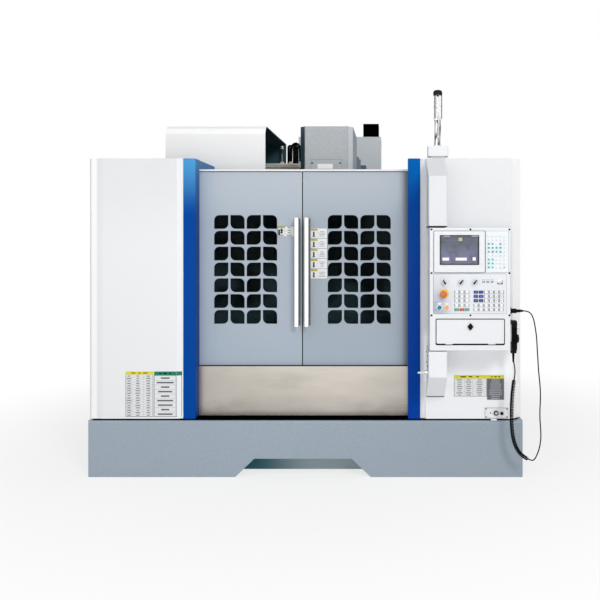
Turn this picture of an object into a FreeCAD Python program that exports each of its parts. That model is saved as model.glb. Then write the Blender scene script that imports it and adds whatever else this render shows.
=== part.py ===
import FreeCAD, Part
import math
import os
import Sketcher

V = FreeCAD.Vector
doc = FreeCAD.newDocument("machining_center")
sheet = doc.addObject("Spreadsheet::Sheet", "sizes")

# Driving sizes in millimetres: name, value, what it is.
# X runs to the right, Y to the back, Z up, and the front of the machine faces -Y.
# Names that end in _x, _y or _z are places measured from the origin on the floor.
SIZES = [
    ("sheet_metal", 3, "thickness of the enclosure sheets"),
    ("soft_gap", 0.3, "seat clearance between pieces that move on each other"),
    ("base_width", 2600, "coolant tank, side to side"),
    ("base_front_y", -995, "front face of the coolant tank"),
    ("base_depth", 1700, "coolant tank, front to back"),
    ("base_height", 336, "coolant tank height"),
    ("base_edge_radius", 12, "rounded top edge of the tank"),
    ("recess_height", 110, "toe recess height"),
    ("recess_foot_width", 811, "toe recess width at the floor"),
    ("recess_top_width", 583, "toe recess width at the top"),
    ("recess_corner", 26, "rounded upper corners of the toe recess"),
    ("recess_depth", 150, "toe recess depth"),
    ("recess_x", -14, "middle of the toe recess"),
    ("bed_slot_gap", 12, "gap between the tank and the bed"),
    ("seal_height", 9, "rubber seal between tank and enclosure"),
    ("seal_inset", 24, "seal set back from the enclosure face"),
    ("seal_width", 60, "width of the seal ring"),
    ("panel_setback", 15, "enclosure face behind the tank face"),
    ("panel_side_inset", 3, "enclosure side inside the tank side"),
    ("corner_bend", 90, "large front bend of the left enclosure"),
    ("right_bend", 56, "front chamfer of the right enclosure"),
    ("fold_width", 36, "folded strip beside the left post"),
    ("fold_drop", 8, "how far the folded strip turns back"),
    ("groove_width", 32, "shadow groove beside the right post"),
    ("groove_depth", 12, "depth of the shadow groove"),
    ("post_width", 73, "door post width"),
    ("post_depth", 90, "door post depth"),
    ("post_radius", 5, "door post edge radius"),
    ("left_post_x", -661, "inner face of the left post"),
    ("right_post_x", 614, "inner face of the right post"),
    ("beam_height", 56, "roof side beam height"),
    ("apron_setback", 80, "front apron behind the post face"),
    ("apron_top_z", 645, "top edge of the front apron"),
    ("apron_flange", 14, "returned flange of the front apron"),
    ("door_setback", 100, "door face behind the post face"),
    ("door_thick", 40, "door leaf thickness"),
    ("door_foot_z", 612, "lower edge of the doors"),
    ("door_head_z", 1840, "upper edge of the doors"),
    ("door_hidden", 31, "door edge hidden behind its post"),
    ("seam_x", -31, "middle of the seam between the doors"),
    ("seam_gap", 6, "gap between the closed doors"),
    ("door_rib", 24, "depth of the stiffening rib behind a door"),
    ("pane_width", 87.3, "one window pane, wide"),
    ("pane_height", 84.6, "one window pane, high"),
    ("pane_rib", 12.5, "rib between window panes"),
    ("pane_radius", 32, "rounded pane corners"),
    ("pane_columns", 4, "panes across one door"),
    ("pane_rows", 7, "panes down one door"),
    ("window_foot_z", 902, "lower edge of the windows"),
    ("left_window_x", -380, "middle of the left window"),
    ("right_window_x", 317, "middle of the right window"),
    ("glass_thick", 8, "laminated window glass"),
    ("glass_lap", 22, "glass lap around the window"),
    ("handle_width", 30, "door handle tube, wide"),
    ("handle_thick", 16, "door handle tube, deep"),
    ("handle_foot_z", 891, "lower end of the door handles"),
    ("handle_length", 658, "door handle length"),
    ("handle_reach", 58, "handle front face in front of the door"),
    ("handle_post", 22, "diameter of the handle stand-offs"),
    ("handle_post_inset", 40, "stand-off from the handle end"),
    ("left_handle_x", -61, "middle of the left handle"),
    ("right_handle_x", 0, "middle of the right handle"),
    ("roller_radius", 22, "door roller radius"),
    ("roller_thick", 11, "door roller thickness"),
    ("roller_inset", 130, "door roller from the leaf edge"),
    ("track_drop", 47, "door track below the upper edge of the doors"),
    ("rail_over_door", 9, "top rail above the doors"),
    ("rail_lip", 12, "front lip of the top rail"),
    ("rail_room", 6, "room between door leaf and rail lip"),
    ("guide_drop", 12, "depth of the floor guide below the door"),
    ("guide_wall", 40, "height of the floor guide wall"),
    ("machine_x", 75, "middle of column, head and table"),
    ("bed_width", 660, "machine bed width"),
    ("bed_top_z", 520, "top of the machine bed"),
    ("bed_foot_z", 70, "underside of the machine bed"),
    ("bed_front_y", -700, "front end of the bed"),
    ("bed_back_y", 860, "back end of the bed"),
    ("bed_waist", 70, "how far the bed draws in below its top"),
    ("bed_window", 150, "core hole height in the bed side"),
    ("foot_radius", 55, "levelling foot radius"),
    ("foot_thick", 22, "levelling foot plate"),
    ("foot_stud", 16, "levelling stud radius"),
    ("y_rail_spread", 250, "Y rails from the machine middle"),
    ("rail_width", 45, "linear rail width"),
    ("rail_height", 35, "linear rail height"),
    ("rail_fit", 0.3, "clearance of a block on its rail"),
    ("block_width", 100, "rail block width"),
    ("block_length", 120, "rail block length"),
    ("block_inset", 100, "saddle blocks from the saddle ends"),
    ("screw_radius", 18, "ball screw radius"),
    ("screw_channel", 76, "half width of the ball screw channel"),
    ("channel_depth", 70, "depth of the ball screw channel"),
    ("motor_width", 110, "axis servo motor, square"),
    ("motor_length", 170, "axis servo motor length"),
    ("spindle_y", -250, "spindle axis from the origin"),
    ("saddle_width", 700, "saddle, side to side"),
    ("saddle_length", 560, "saddle, front to back"),
    ("saddle_foot_z", 592, "underside of the saddle plate"),
    ("saddle_top_z", 692, "top of the saddle plate"),
    ("y_travel", 250, "saddle travel each way"),
    ("x_travel", 400, "table travel each way"),
    ("x_rail_spread", 170, "X rails from the saddle middle"),
    ("table_length", 1050, "table, side to side"),
    ("table_width", 500, "table, front to back"),
    ("table_top_z", 900, "table face"),
    ("table_thick", 96, "table plate thickness"),
    ("table_rib", 46, "ribs below the table plate"),
    ("slot_width", 18, "T-slot neck"),
    ("slot_neck", 20, "T-slot neck depth"),
    ("slot_head_width", 30, "T-slot head width"),
    ("slot_head_depth", 13, "T-slot head depth"),
    ("slot_pitch", 90, "T-slot spacing"),
    ("slot_count", 5, "number of T-slots"),
    ("gutter_width", 16, "coolant gutter at the table ends"),
    ("gutter_depth", 10, "coolant gutter depth"),
    ("column_front_y", 305, "front face of the column"),
    ("column_depth", 550, "column, front to back"),
    ("column_width", 480, "column width above the shoulder"),
    ("column_top_z", 2000, "top of the column"),
    ("shoulder_low_z", 1150, "where the column starts to narrow"),
    ("shoulder_high_z", 1400, "where the column stops narrowing"),
    ("z_rail_spread", 150, "Z rails from the machine middle"),
    ("z_rail_foot_z", 1090, "lower end of the Z rails"),
    ("z_travel", 500, "head travel down"),
    ("z_motor_width", 150, "Z servo motor, square"),
    ("z_motor_height", 245, "Z servo motor height"),
    ("nose_z", 1550, "spindle face with the head raised"),
    ("nose_radius", 64, "spindle nose radius"),
    ("nose_height", 40, "spindle nose below its housing"),
    ("quill_radius", 85, "spindle housing radius"),
    ("quill_foot_z", 1592, "lower end of the spindle housing"),
    ("head_width", 260, "head casting width"),
    ("head_foot_z", 1690, "underside of the head arm"),
    ("head_top_z", 1850, "top of the head arm"),
    ("head_front_y", -372, "front end of the head arm"),
    ("head_plate_width", 380, "head slide plate width"),
    ("head_plate_foot_z", 1640, "lower end of the head slide plate"),
    ("head_plate_top_z", 2060, "upper end of the head slide plate"),
    ("head_plate_thick", 30, "head slide plate thickness"),
    ("motor_radius", 105, "spindle motor radius"),
    ("motor_top_z", 2150, "top of the spindle motor"),
    ("cover_width", 357, "head cover width"),
    ("cover_front_y", -445, "head cover front"),
    ("cover_back_y", 101, "head cover back"),
    ("cover_foot_z", 1652, "lower edge of the head cover"),
    ("cover_top_z", 2184, "top of the head cover"),
    ("cover_bevel", 36, "bevelled corners of the head cover"),
    ("taper_radius", 22.2, "spindle taper mouth radius"),
    ("taper_depth", 65, "spindle taper depth"),
    ("taper_end_radius", 12.8, "spindle taper inner radius"),
    ("key_width", 16, "spindle drive key width"),
    ("key_height", 8, "spindle drive key height"),
    ("beam_front_y", 330, "front face of the magazine beam"),
    ("beam_depth", 80, "magazine beam depth"),
    ("beam_foot_z", 1932, "underside of the magazine beam"),
    ("beam_top_z", 2018, "top of the magazine beam"),
    ("mag_rail_width", 23, "magazine rail width"),
    ("mag_rail_height", 20, "magazine rail height"),
    ("cover_left_x", -987, "left side of the magazine cover"),
    ("cover_right_x", -324, "open side of the magazine cover"),
    ("mag_front_y", -520, "front of the magazine cover"),
    ("mag_back_y", 415, "back of the magazine cover"),
    ("mag_foot_z", 1430, "lower edge of the magazine cover"),
    ("mag_top_z", 2180, "top of the magazine cover"),
    ("mag_bend", 70, "front top bend of the magazine cover"),
    ("carousel_x", -655, "carousel axis"),
    ("carousel_z", 1430, "underside of the carousel disc"),
    ("carousel_thick", 30, "carousel disc thickness"),
    ("carousel_radius", 196, "carousel disc radius"),
    ("pocket_radius", 225, "tool circle radius"),
    ("pocket_count", 12, "tool pockets on the carousel"),
    ("hub_radius", 120, "carousel hub radius"),
    ("flange_radius", 31, "tool holder flange radius"),
    ("flange_height", 26, "tool holder flange height"),
    ("holder_radius", 22, "tool holder taper, wide end"),
    ("holder_angle", 8.3, "half angle of the tool holder taper, in degrees"),
    ("tool_count", 4, "pockets that hold a cutter"),
    ("holder_taper", 60, "tool holder taper length"),
    ("tool_radius", 20, "collet nut radius"),
    ("tool_length", 58, "collet nut length"),
    ("bit_radius", 6, "cutter radius"),
    ("bit_length", 62, "cutter length"),
    ("arm_foot_z", 1604, "underside of the magazine arm"),
    ("arm_thick", 26, "magazine arm thickness"),
    ("arm_left_x", -900, "left end of the magazine arm"),
    ("arm_right_x", -560, "right end of the magazine arm"),
    ("arm_front_y", -330, "front end of the magazine arm"),
    ("arm_back_y", 200, "back end of the wide part of the arm"),
    ("tongue_right_x", -690, "right side of the magazine slide plate"),
    ("slide_plate", 22, "magazine slide plate thickness"),
    ("mag_travel", 505, "magazine travel to the spindle"),
    ("mag_motor_radius", 62, "carousel motor radius"),
    ("mag_motor_height", 240, "carousel motor height"),
    ("guard_y", 420, "rear guard of the work space"),
    ("guard_foot_z", 560, "lower edge of the rear guard"),
    ("pan_high_z", 600, "chip pan at the enclosure side"),
    ("pan_low_z", 440, "chip pan at the bed"),
    ("cabinet_x", 66, "middle of the electrical cabinet"),
    ("cabinet_width", 713, "electrical cabinet width"),
    ("cabinet_front_y", 900, "electrical cabinet front"),
    ("cabinet_depth", 330, "electrical cabinet depth"),
    ("cabinet_top_z", 2310, "electrical cabinet top"),
    ("plinth_height", 90, "cabinet plinth height"),
    ("plinth_inset", 20, "cabinet plinth set back"),
    ("cabinet_door_thick", 18, "cabinet door thickness"),
    ("cabinet_door_edge", 16, "frame around the cabinet door"),
    ("fan_x", 335, "middle of the cabinet fan"),
    ("fan_width", 135, "cabinet fan width"),
    ("fan_height", 119, "cabinet fan height"),
    ("fan_depth", 180, "cabinet fan depth"),
    ("bracket_left_x", 724, "left side of the control bracket"),
    ("bracket_width", 106, "control bracket width"),
    ("bracket_reach", 245, "control bracket front to back"),
    ("bracket_radius", 8, "control bracket corner radius"),
    ("bracket_cap_z", 1778, "front top of the upper bracket"),
    ("bracket_foot_z", 639, "front bottom of the lower bracket"),
    ("bracket_tail_z", 475, "back bottom of the lower bracket"),
    ("swivel_gap", 5, "gap between bracket and control box"),
    ("swivel_x", 780, "control box swivel axis"),
    ("swivel_y", -1105, "control box swivel axis"),
    ("boss_radius", 40, "swivel boss radius"),
    ("box_left_x", 730, "left side of the control box"),
    ("box_width", 457, "control box width"),
    ("box_foot_z", 790, "underside of the control box"),
    ("box_height", 695, "control box height"),
    ("box_corner", 40, "rounded back corner at the swivel"),
    ("box_edge", 5, "control box edge radius"),
    ("bezel_left_x", 755, "display frame, left edge"),
    ("bezel_width", 285, "display frame width"),
    ("bezel_foot_z", 1234, "display frame, lower edge"),
    ("bezel_height", 232, "display frame height"),
    ("bezel_thick", 12, "display frame thickness"),
    ("bezel_radius", 7, "display frame corner radius"),
    ("screen_left_x", 786, "screen, left edge"),
    ("screen_width", 223, "screen width"),
    ("screen_foot_z", 1275, "screen, lower edge"),
    ("screen_height", 169, "screen height"),
    ("screen_thick", 6, "screen glass thickness"),
    ("keypad_width", 134, "data keypad width"),
    ("key_size", 15, "keypad key, square"),
    ("key_pitch", 22, "keypad key spacing"),
    ("key_rise", 3, "key height above its plate"),
    ("keypad_columns", 5, "keypad keys across"),
    ("keypad_rows", 9, "keypad keys down"),
    ("plate_thick", 4, "operator plates"),
    ("panel_left_x", 752, "operator panel, left edge"),
    ("panel_width", 412, "operator panel width"),
    ("panel_foot_z", 1001, "operator panel, lower edge"),
    ("panel_height", 223, "operator panel height"),
    ("button_pitch", 29, "operator key spacing across"),
    ("button_rise", 24, "operator key spacing up"),
    ("button_width", 21, "operator key width"),
    ("button_height", 17, "operator key height"),
    ("left_keys_x", 872, "left key block, left edge"),
    ("right_keys_x", 980, "right key block, left edge"),
    ("key_block_z", 1066, "key blocks, lower edge"),
    ("low_keys_z", 1016, "low key rows, lower edge"),
    ("low_key_height", 15, "low key height"),
    ("stop_x", 807, "emergency stop"),
    ("stop_z", 1110, "emergency stop"),
    ("stop_radius", 20, "emergency stop head radius"),
    ("stop_collar", 27, "emergency stop collar radius"),
    ("stop_push", 5, "emergency stop travel"),
    ("stop_shank", 10, "emergency stop shank radius"),
    ("button_root", 1.5, "button shank inside its collar at rest"),
    ("start_x", 785, "cycle start button"),
    ("hold_x", 826, "feed hold button"),
    ("button_z", 1035, "start and hold buttons"),
    ("push_radius", 12, "push button radius"),
    ("push_collar", 16, "push button collar radius"),
    ("push_travel", 4, "push button travel"),
    ("mode_x", 812, "mode knob"),
    ("feed_x", 908, "feed knob"),
    ("speed_x", 986, "spindle speed knob"),
    ("knob_z", 1180, "selector knobs"),
    ("knob_radius", 17, "selector knob radius"),
    ("knob_height", 17, "selector knob height"),
    ("knob_grip", 4, "selector knob grip radius"),
    ("knob_grips", 8, "grips round a selector knob"),
    ("flap_left_x", 769, "flap, left edge"),
    ("flap_width", 381, "flap width"),
    ("flap_foot_z", 832, "flap, lower edge"),
    ("flap_height", 135, "flap height"),
    ("flap_thick", 3, "flap sheet"),
    ("pocket_margin", 6, "flap lap around its compartment"),
    ("pocket_depth", 118, "flap compartment depth"),
    ("hinge_radius", 5, "flap hinge radius"),
    ("latch_z", 928, "flap latch"),
    ("latch_size", 11, "flap latch, half diagonal"),
    ("latch_thick", 7, "flap latch thickness"),
    ("latch_core", 5, "round key core of a latch"),
    ("pendant_gap", 19, "pendant holder thickness"),
    ("pendant_thick", 30, "pendant thickness"),
    ("pendant_width", 85, "pendant, front to back"),
    ("pendant_top_z", 950, "pendant top"),
    ("pendant_foot_z", 791, "pendant lower end of the full width"),
    ("pendant_tail_z", 748, "pendant strain relief end"),
    ("pendant_y", -1118, "pendant middle"),
    ("dial_radius", 29, "pendant handwheel radius"),
    ("dial_height", 15, "pendant handwheel height"),
    ("dial_z", 845, "pendant handwheel"),
    ("small_knob_radius", 10, "pendant knob radius"),
    ("small_knob_height", 14, "pendant knob height"),
    ("small_knob_z", 912, "pendant knobs"),
    ("small_knob_spread", 20, "pendant knobs from the middle"),
    ("plug_z", 1004, "cord plug on the control box"),
    ("plug_radius", 13, "cord plug radius"),
    ("plug_y", -1105, "cord plane"),
    ("plug_length", 92, "cord plug length"),
    ("cord_radius", 3.5, "pendant cord radius"),
    ("coil_radius", 8.6, "curl radius to the middle of the cord"),
    ("curl_count", 56, "number of curls"),
    ("lever_y", -1150, "clamp lever"),
    ("lever_z", 655, "clamp lever"),
    ("lever_hub", 11, "clamp lever hub radius"),
    ("lever_hub_height", 20, "clamp lever hub height"),
    ("lever_radius", 5, "clamp lever rod radius"),
    ("lever_length", 58, "clamp lever rod length"),
    ("light_x", 797, "stack light"),
    ("light_y", -900, "stack light"),
    ("light_box_width", 124, "stack light foot width"),
    ("light_box_depth", 90, "stack light foot depth"),
    ("light_box_height", 60, "stack light foot height"),
    ("light_lift", 19, "stack light foot above the enclosure"),
    ("pole_radius", 20, "stack light pole radius"),
    ("lens_foot_z", 2157, "stack light lens, lower end"),
    ("lens_radius", 27, "stack light lens radius"),
    ("lens_height", 172, "stack light lens height"),
    ("cap_height", 26, "stack light cap height"),
    ("plate_inset", 87, "service plate from the side of the tank"),
    ("plate_width", 138, "service plate width"),
    ("plate_foot_z", 350, "service plate, lower edge"),
    ("plate_height", 60, "service plate height"),
    ("socket_inset", 66, "socket from the left edge of the service plate"),
    ("valve_inset", 39, "valve knob from the right edge of the service plate"),
    ("conduit_radius", 12, "conduit radius over its ribs"),
    ("conduit_root", 10.2, "conduit radius between its ribs"),
    ("conduit_bore", 8.5, "conduit bore radius"),
    ("conduit_pitch", 12, "one rib of the conduit"),
    ("conduit_left_x", -279, "conduit, left end"),
    ("conduit_right_x", -205, "conduit, right end"),
    ("conduit_top_z", 2190, "conduit, top of the arch"),
    ("ball_x", -350, "lever rod with a ball"),
    ("ball_radius", 12, "ball on the lever rod"),
    ("ball_z", 2146, "ball on the lever rod"),
]

for row, (name, value, meaning) in enumerate(SIZES, 1):
    sheet.set("A%d" % row, name)
    sheet.set("B%d" % row, str(value))
    sheet.set("C%d" % row, meaning)
    sheet.setAlias("B%d" % row, name)
doc.recompute()


class Size:
    """A length: its number, and the spreadsheet formula that gives it."""

    def __init__(self, value, text):
        self.value = float(value)
        self.text = text

    def __add__(self, other):
        o = size(other)
        return Size(self.value + o.value, "(%s + %s)" % (self.text, o.text))

    def __radd__(self, other):
        return size(other) + self

    def __sub__(self, other):
        o = size(other)
        return Size(self.value - o.value, "(%s - %s)" % (self.text, o.text))

    def __rsub__(self, other):
        return size(other) - self

    def __mul__(self, other):
        o = size(other)
        return Size(self.value * o.value, "(%s * %s)" % (self.text, o.text))

    def __rmul__(self, other):
        return size(other) * self

    def __truediv__(self, other):
        o = size(other)
        return Size(self.value / o.value, "(%s / %s)" % (self.text, o.text))

    def __neg__(self):
        return Size(-self.value, "(0 - %s)" % self.text)


def size(number):
    """Turn a bare number into a Size."""
    if isinstance(number, Size):
        return number
    return Size(number, "%.12g" % number if number >= 0 else "(0 - %.12g)" % -number)


class Sizes:
    """The sheet's cells as Size values."""


s = Sizes()
for name, value, meaning in SIZES:
    setattr(s, name, Size(sheet.get(name), "sizes." + name))

nodes = []
cuts = []


def rect(x0, y0, x1, y1):
    """Outline of a plain rectangle."""
    return [(x0, y0), (x1, y0), (x1, y1), (x0, y1)]


def rounded(x0, y0, x1, y1, r, corners="abcd"):
    """Rectangle with rounded corners: a, b, c, d run from lower left, turning left."""
    points = []
    points += [(x0, y0 + r, r), (x0 + r, y0)] if "a" in corners else [(x0, y0)]
    points += [(x1 - r, y0, r), (x1, y0 + r)] if "b" in corners else [(x1, y0)]
    points += [(x1, y1 - r, r), (x1 - r, y1)] if "c" in corners else [(x1, y1)]
    points += [(x0 + r, y1, r), (x0, y1 - r)] if "d" in corners else [(x0, y1)]
    return points


def bevelled(x0, y0, x1, y1, b, corners="abcd"):
    """Rectangle with bevelled corners, named as for rounded()."""
    points = []
    points += [(x0, y0 + b), (x0 + b, y0)] if "a" in corners else [(x0, y0)]
    points += [(x1 - b, y0), (x1, y0 + b)] if "b" in corners else [(x1, y0)]
    points += [(x1, y1 - b), (x1 - b, y1)] if "c" in corners else [(x1, y1)]
    points += [(x0 + b, y1), (x0, y1 - b)] if "d" in corners else [(x0, y1)]
    return points


def ring(x, y, r):
    """A full circle."""
    return ("ring", x, y, r)


def draw(sketch, loops):
    """Draw closed loops, each point and radius bound to its formula."""
    bind = []
    for loop in loops:
        if loop[0] == "ring":
            x, y, r = [size(v) for v in loop[1:]]
            circle = Part.Circle(V(x.value, y.value, 0), V(0, 0, 1), r.value)
            g = sketch.addGeometry(circle, False)
            bind.append((Sketcher.Constraint("Radius", g, r.value), r))
            bind.append((Sketcher.Constraint("DistanceX", -1, 1, g, 3, x.value), x))
            bind.append((Sketcher.Constraint("DistanceY", -1, 1, g, 3, y.value), y))
            continue
        first = sketch.GeometryCount
        count = len(loop)
        ends = []
        shapes = []
        for i, point in enumerate(loop):
            after = loop[(i + 1) % count]
            x0, y0 = size(point[0]).value, size(point[1]).value
            x1, y1 = size(after[0]).value, size(after[1]).value
            if len(point) == 2:
                shapes.append(Part.LineSegment(V(x0, y0, 0), V(x1, y1, 0)))
                ends.append((1, 2))
                continue
            r = size(point[2]).value
            left = r > 0
            r = abs(r)
            half = math.hypot(x1 - x0, y1 - y0) / 2
            rise = math.sqrt(max(r * r - half * half, 0))
            nx, ny = -(y1 - y0) / (2 * half), (x1 - x0) / (2 * half)
            side = 1 if left else -1
            cx = (x0 + x1) / 2 + side * nx * rise
            cy = (y0 + y1) / 2 + side * ny * rise
            a0 = math.atan2(y0 - cy, x0 - cx)
            a1 = math.atan2(y1 - cy, x1 - cx)
            if not left:
                a0, a1 = a1, a0
            if a1 < a0:
                a1 += 2 * math.pi
            circle = Part.Circle(V(cx, cy, 0), V(0, 0, 1), r)
            shapes.append(Part.ArcOfCircle(circle, a0, a1))
            ends.append((1, 2) if left else (2, 1))
        sketch.addGeometry(shapes, False)
        joins = []
        for i in range(count):
            j = (i + 1) % count
            joins.append(
                Sketcher.Constraint("Coincident", first + i, ends[i][1], first + j, ends[j][0])
            )
        sketch.addConstraint(joins)
        for i, point in enumerate(loop):
            x, y = size(point[0]), size(point[1])
            g, pos = first + i, ends[i][0]
            bind.append((Sketcher.Constraint("DistanceX", -1, 1, g, pos, x.value), x))
            bind.append((Sketcher.Constraint("DistanceY", -1, 1, g, pos, y.value), y))
            if len(point) == 3:
                r = size(point[2])
                r = r if r.value > 0 else -r
                bind.append((Sketcher.Constraint("Radius", g, r.value), r))
    start = sketch.ConstraintCount
    sketch.addConstraint([constraint for constraint, formula in bind])
    for i, (constraint, formula) in enumerate(bind):
        sketch.setExpression("Constraints[%d]" % (start + i), formula.text)


class Piece:
    """One PartDesign body, built from sketches on its origin planes."""

    def __init__(self, label, at=(0, 0, 0), keep=True):
        self.body = doc.addObject("PartDesign::Body", label)
        self.body.Label = label
        for axis, value in zip("xyz", at):
            self.body.setExpression("Placement.Base." + axis, size(value).text)
        if keep:
            nodes.append(self.body)

    def sketch(self, plane, offset, loops):
        sk = self.body.newObject("Sketcher::SketchObject", self.body.Label + "_sketch")
        origin = self.body.Origin.OriginFeatures
        flat = [f for f in origin if f.Role == plane + "_Plane"][0]
        sk.AttachmentSupport = [(flat, "")]
        sk.MapMode = "FlatFace"
        offset = size(offset)
        offset = -offset if plane == "XZ" else offset
        sk.setExpression("AttachmentOffset.Base.z", offset.text)
        draw(sk, loops)
        return sk

    def pad(self, plane, low, high, *loops):
        """Pad loops from low to high along the axis square to the plane."""
        sk = self.sketch(plane, low, loops)
        feature = self.body.newObject("PartDesign::Pad", self.body.Label + "_pad")
        feature.Profile = sk
        feature.setExpression("Length", (size(high) - low).text)
        feature.Reversed = plane == "XZ"
        self.body.Tip = feature
        return feature

    def cut(self, plane, low, high, *loops):
        """Pocket loops from low to high along the axis square to the plane."""
        sk = self.sketch(plane, low, loops)
        feature = self.body.newObject("PartDesign::Pocket", self.body.Label + "_pocket")
        feature.Profile = sk
        feature.setExpression("Length", (size(high) - low).text)
        feature.Reversed = plane != "XZ"
        self.body.Tip = feature
        cuts.append(feature)
        return feature

    def turn(self, plane, loop, axis="V_Axis", groove=False):
        """Revolve a loop about an axis through the body's own origin."""
        sk = self.sketch(plane, 0, [loop])
        kind = "PartDesign::Groove" if groove else "PartDesign::Revolution"
        feature = self.body.newObject(kind, self.body.Label + "_turn")
        feature.Profile = sk
        feature.ReferenceAxis = (sk, [axis])
        feature.Angle = 360
        self.body.Tip = feature
        if groove:
            cuts.append(feature)
        return feature

    def row(self, feature, axis, pitch, count):
        """Repeat a feature along one axis of its sketch."""
        pattern = self.body.newObject("PartDesign::LinearPattern", self.body.Label + "_row")
        pattern.Originals = [feature]
        pattern.Direction = (feature.Profile[0], [axis])
        pattern.setExpression("Length", (size(pitch) * (size(count) - 1)).text)
        pattern.setExpression("Occurrences", size(count).text)
        self.body.Tip = pattern
        return pattern

    def grid(self, feature, pitch_h, count_h, pitch_v, count_v):
        """Repeat a feature along both axes of its sketch."""
        table = self.body.newObject("PartDesign::MultiTransform", self.body.Label + "_grid")
        table.Originals = [feature]
        steps = []
        for axis, pitch, count in (("H_Axis", pitch_h, count_h), ("V_Axis", pitch_v, count_v)):
            one = self.body.newObject("PartDesign::LinearPattern", self.body.Label + "_step")
            one.Direction = (feature.Profile[0], [axis])
            one.setExpression("Length", (size(pitch) * (size(count) - 1)).text)
            one.setExpression("Occurrences", size(count).text)
            steps.append(one)
        table.Transformations = steps
        table.Refine = False
        self.body.Tip = table
        return table

    def polar(self, feature, count):
        """Repeat a feature round the upright axis of the body."""
        pattern = self.body.newObject("PartDesign::PolarPattern", self.body.Label + "_polar")
        pattern.Originals = [feature]
        axis = [f for f in self.body.Origin.OriginFeatures if f.Role == "Z_Axis"][0]
        pattern.Axis = (axis, [""])
        pattern.Angle = 360
        pattern.setExpression("Occurrences", size(count).text)
        self.body.Tip = pattern
        return pattern

    def edges(self, choose):
        doc.recompute()
        found = self.body.Tip.Shape.Edges
        names = ["Edge%d" % (i + 1) for i, edge in enumerate(found) if choose(edge)]
        if not names:
            raise RuntimeError("no edges to round on " + self.body.Label)
        return names

    def fillet(self, radius, choose):
        names = self.edges(choose)
        base = self.body.Tip
        feature = self.body.newObject("PartDesign::Fillet", self.body.Label + "_fillet")
        feature.Base = (base, names)
        feature.setExpression("Radius", size(radius).text)
        self.body.Tip = feature
        return feature

    def chamfer(self, length, choose):
        names = self.edges(choose)
        base = self.body.Tip
        feature = self.body.newObject("PartDesign::Chamfer", self.body.Label + "_chamfer")
        feature.Base = (base, names)
        feature.setExpression("Size", size(length).text)
        self.body.Tip = feature
        return feature


def same(a, b):
    return abs(a - b) < 0.001


def line_at(x=None, y=None, z=None):
    """Choose straight edges whose ends all lie at the given places."""
    wanted = [(i, [size(v).value for v in (w if isinstance(w, (list, tuple)) else [w])])
              for i, w in enumerate((x, y, z)) if w is not None]

    def choose(edge):
        if len(edge.Vertexes) != 2 or not isinstance(edge.Curve, (Part.Line,)):
            return False
        ends = [tuple(v.Point) for v in edge.Vertexes]
        return all(any(same(p[i], w) for w in want) for p in ends for i, want in wanted)

    return choose


def block(label, x0, y0, z0, x1, y1, z1):
    """A plain block between two corners."""
    box = doc.addObject("Part::Box", label)
    box.Label = label
    for name, low, high in (("Length", x0, x1), ("Width", y0, y1), ("Height", z0, z1)):
        box.setExpression(name, (size(high) - low).text)
    for axis, low in (("x", x0), ("y", y0), ("z", z0)):
        box.setExpression("Placement.Base." + axis, size(low).text)
    return box


def rod(label, radius, length, x, y, z, turn=None):
    """A cylinder that starts at x, y, z and runs up, or along the turned axis."""
    cylinder = doc.addObject("Part::Cylinder", label)
    cylinder.Label = label
    if turn:
        cylinder.Placement = FreeCAD.Placement(V(0, 0, 0), FreeCAD.Rotation(*turn))
    cylinder.setExpression("Radius", size(radius).text)
    cylinder.setExpression("Height", size(length).text)
    for axis, low in (("x", x), ("y", y), ("z", z)):
        cylinder.setExpression("Placement.Base." + axis, size(low).text)
    return cylinder


TOWARDS_BACK = (V(1, 0, 0), -90)
TOWARDS_RIGHT = (V(0, 1, 0), 90)


def fuse(label, *shapes):
    """Join primitives to one node."""
    joined = doc.addObject("Part::MultiFuse", label)
    joined.Label = label
    joined.Shapes = list(shapes)
    nodes.append(joined)
    return joined


def keep(thing):
    nodes.append(thing)
    return thing


# Places that several pieces share.
half_base = s.base_width / 2
base_back_y = s.base_front_y + s.base_depth
panel_y = s.base_front_y + s.panel_setback
panel_foot_z = s.base_height + s.seal_height
track_z = s.door_head_z - s.track_drop
rail_top_z = s.door_head_z + s.rail_over_door
panel_top_z = rail_top_z + s.beam_height
side_x = half_base - s.panel_side_inset
post_back_y = panel_y + s.post_depth
left_post_outer = s.left_post_x - s.post_width
right_post_outer = s.right_post_x + s.post_width
door_y = panel_y + s.door_setback
door_back_y = door_y + s.door_thick
apron_y = panel_y + s.apron_setback
apron_back_y = apron_y + s.sheet_metal + 1
inner_side = side_x - s.sheet_metal
bed_left = s.machine_x - s.bed_width / 2
bed_right = s.machine_x + s.bed_width / 2
column_left = s.machine_x - s.column_width / 2
column_right = s.machine_x + s.column_width / 2
column_back_y = s.column_front_y + s.column_depth

# Coolant tank: the skirt under the whole machine, open at the back for the bed.
tank = Piece("coolant_tank")
slot_left = bed_left - s.bed_slot_gap
slot_right = bed_right + s.bed_slot_gap
slot_front_y = s.bed_front_y - s.bed_slot_gap
tank.pad("XY", 0, s.base_height, [
    (-half_base, s.base_front_y), (half_base, s.base_front_y),
    (half_base, base_back_y), (slot_right, base_back_y),
    (slot_right, slot_front_y), (slot_left, slot_front_y),
    (slot_left, base_back_y), (-half_base, base_back_y),
])
foot_half = s.recess_foot_width / 2
top_half = s.recess_top_width / 2
tank.cut("XZ", s.base_front_y, s.base_front_y + s.recess_depth, [
    (s.recess_x - foot_half, 0), (s.recess_x + foot_half, 0),
    (s.recess_x + top_half + s.recess_corner, s.recess_height - s.recess_corner),
    (s.recess_x + top_half, s.recess_height),
    (s.recess_x - top_half, s.recess_height),
    (s.recess_x - top_half - s.recess_corner, s.recess_height - s.recess_corner),
])
tank.fillet(s.base_edge_radius, line_at(x=[-half_base, half_base], y=s.base_front_y))

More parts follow.
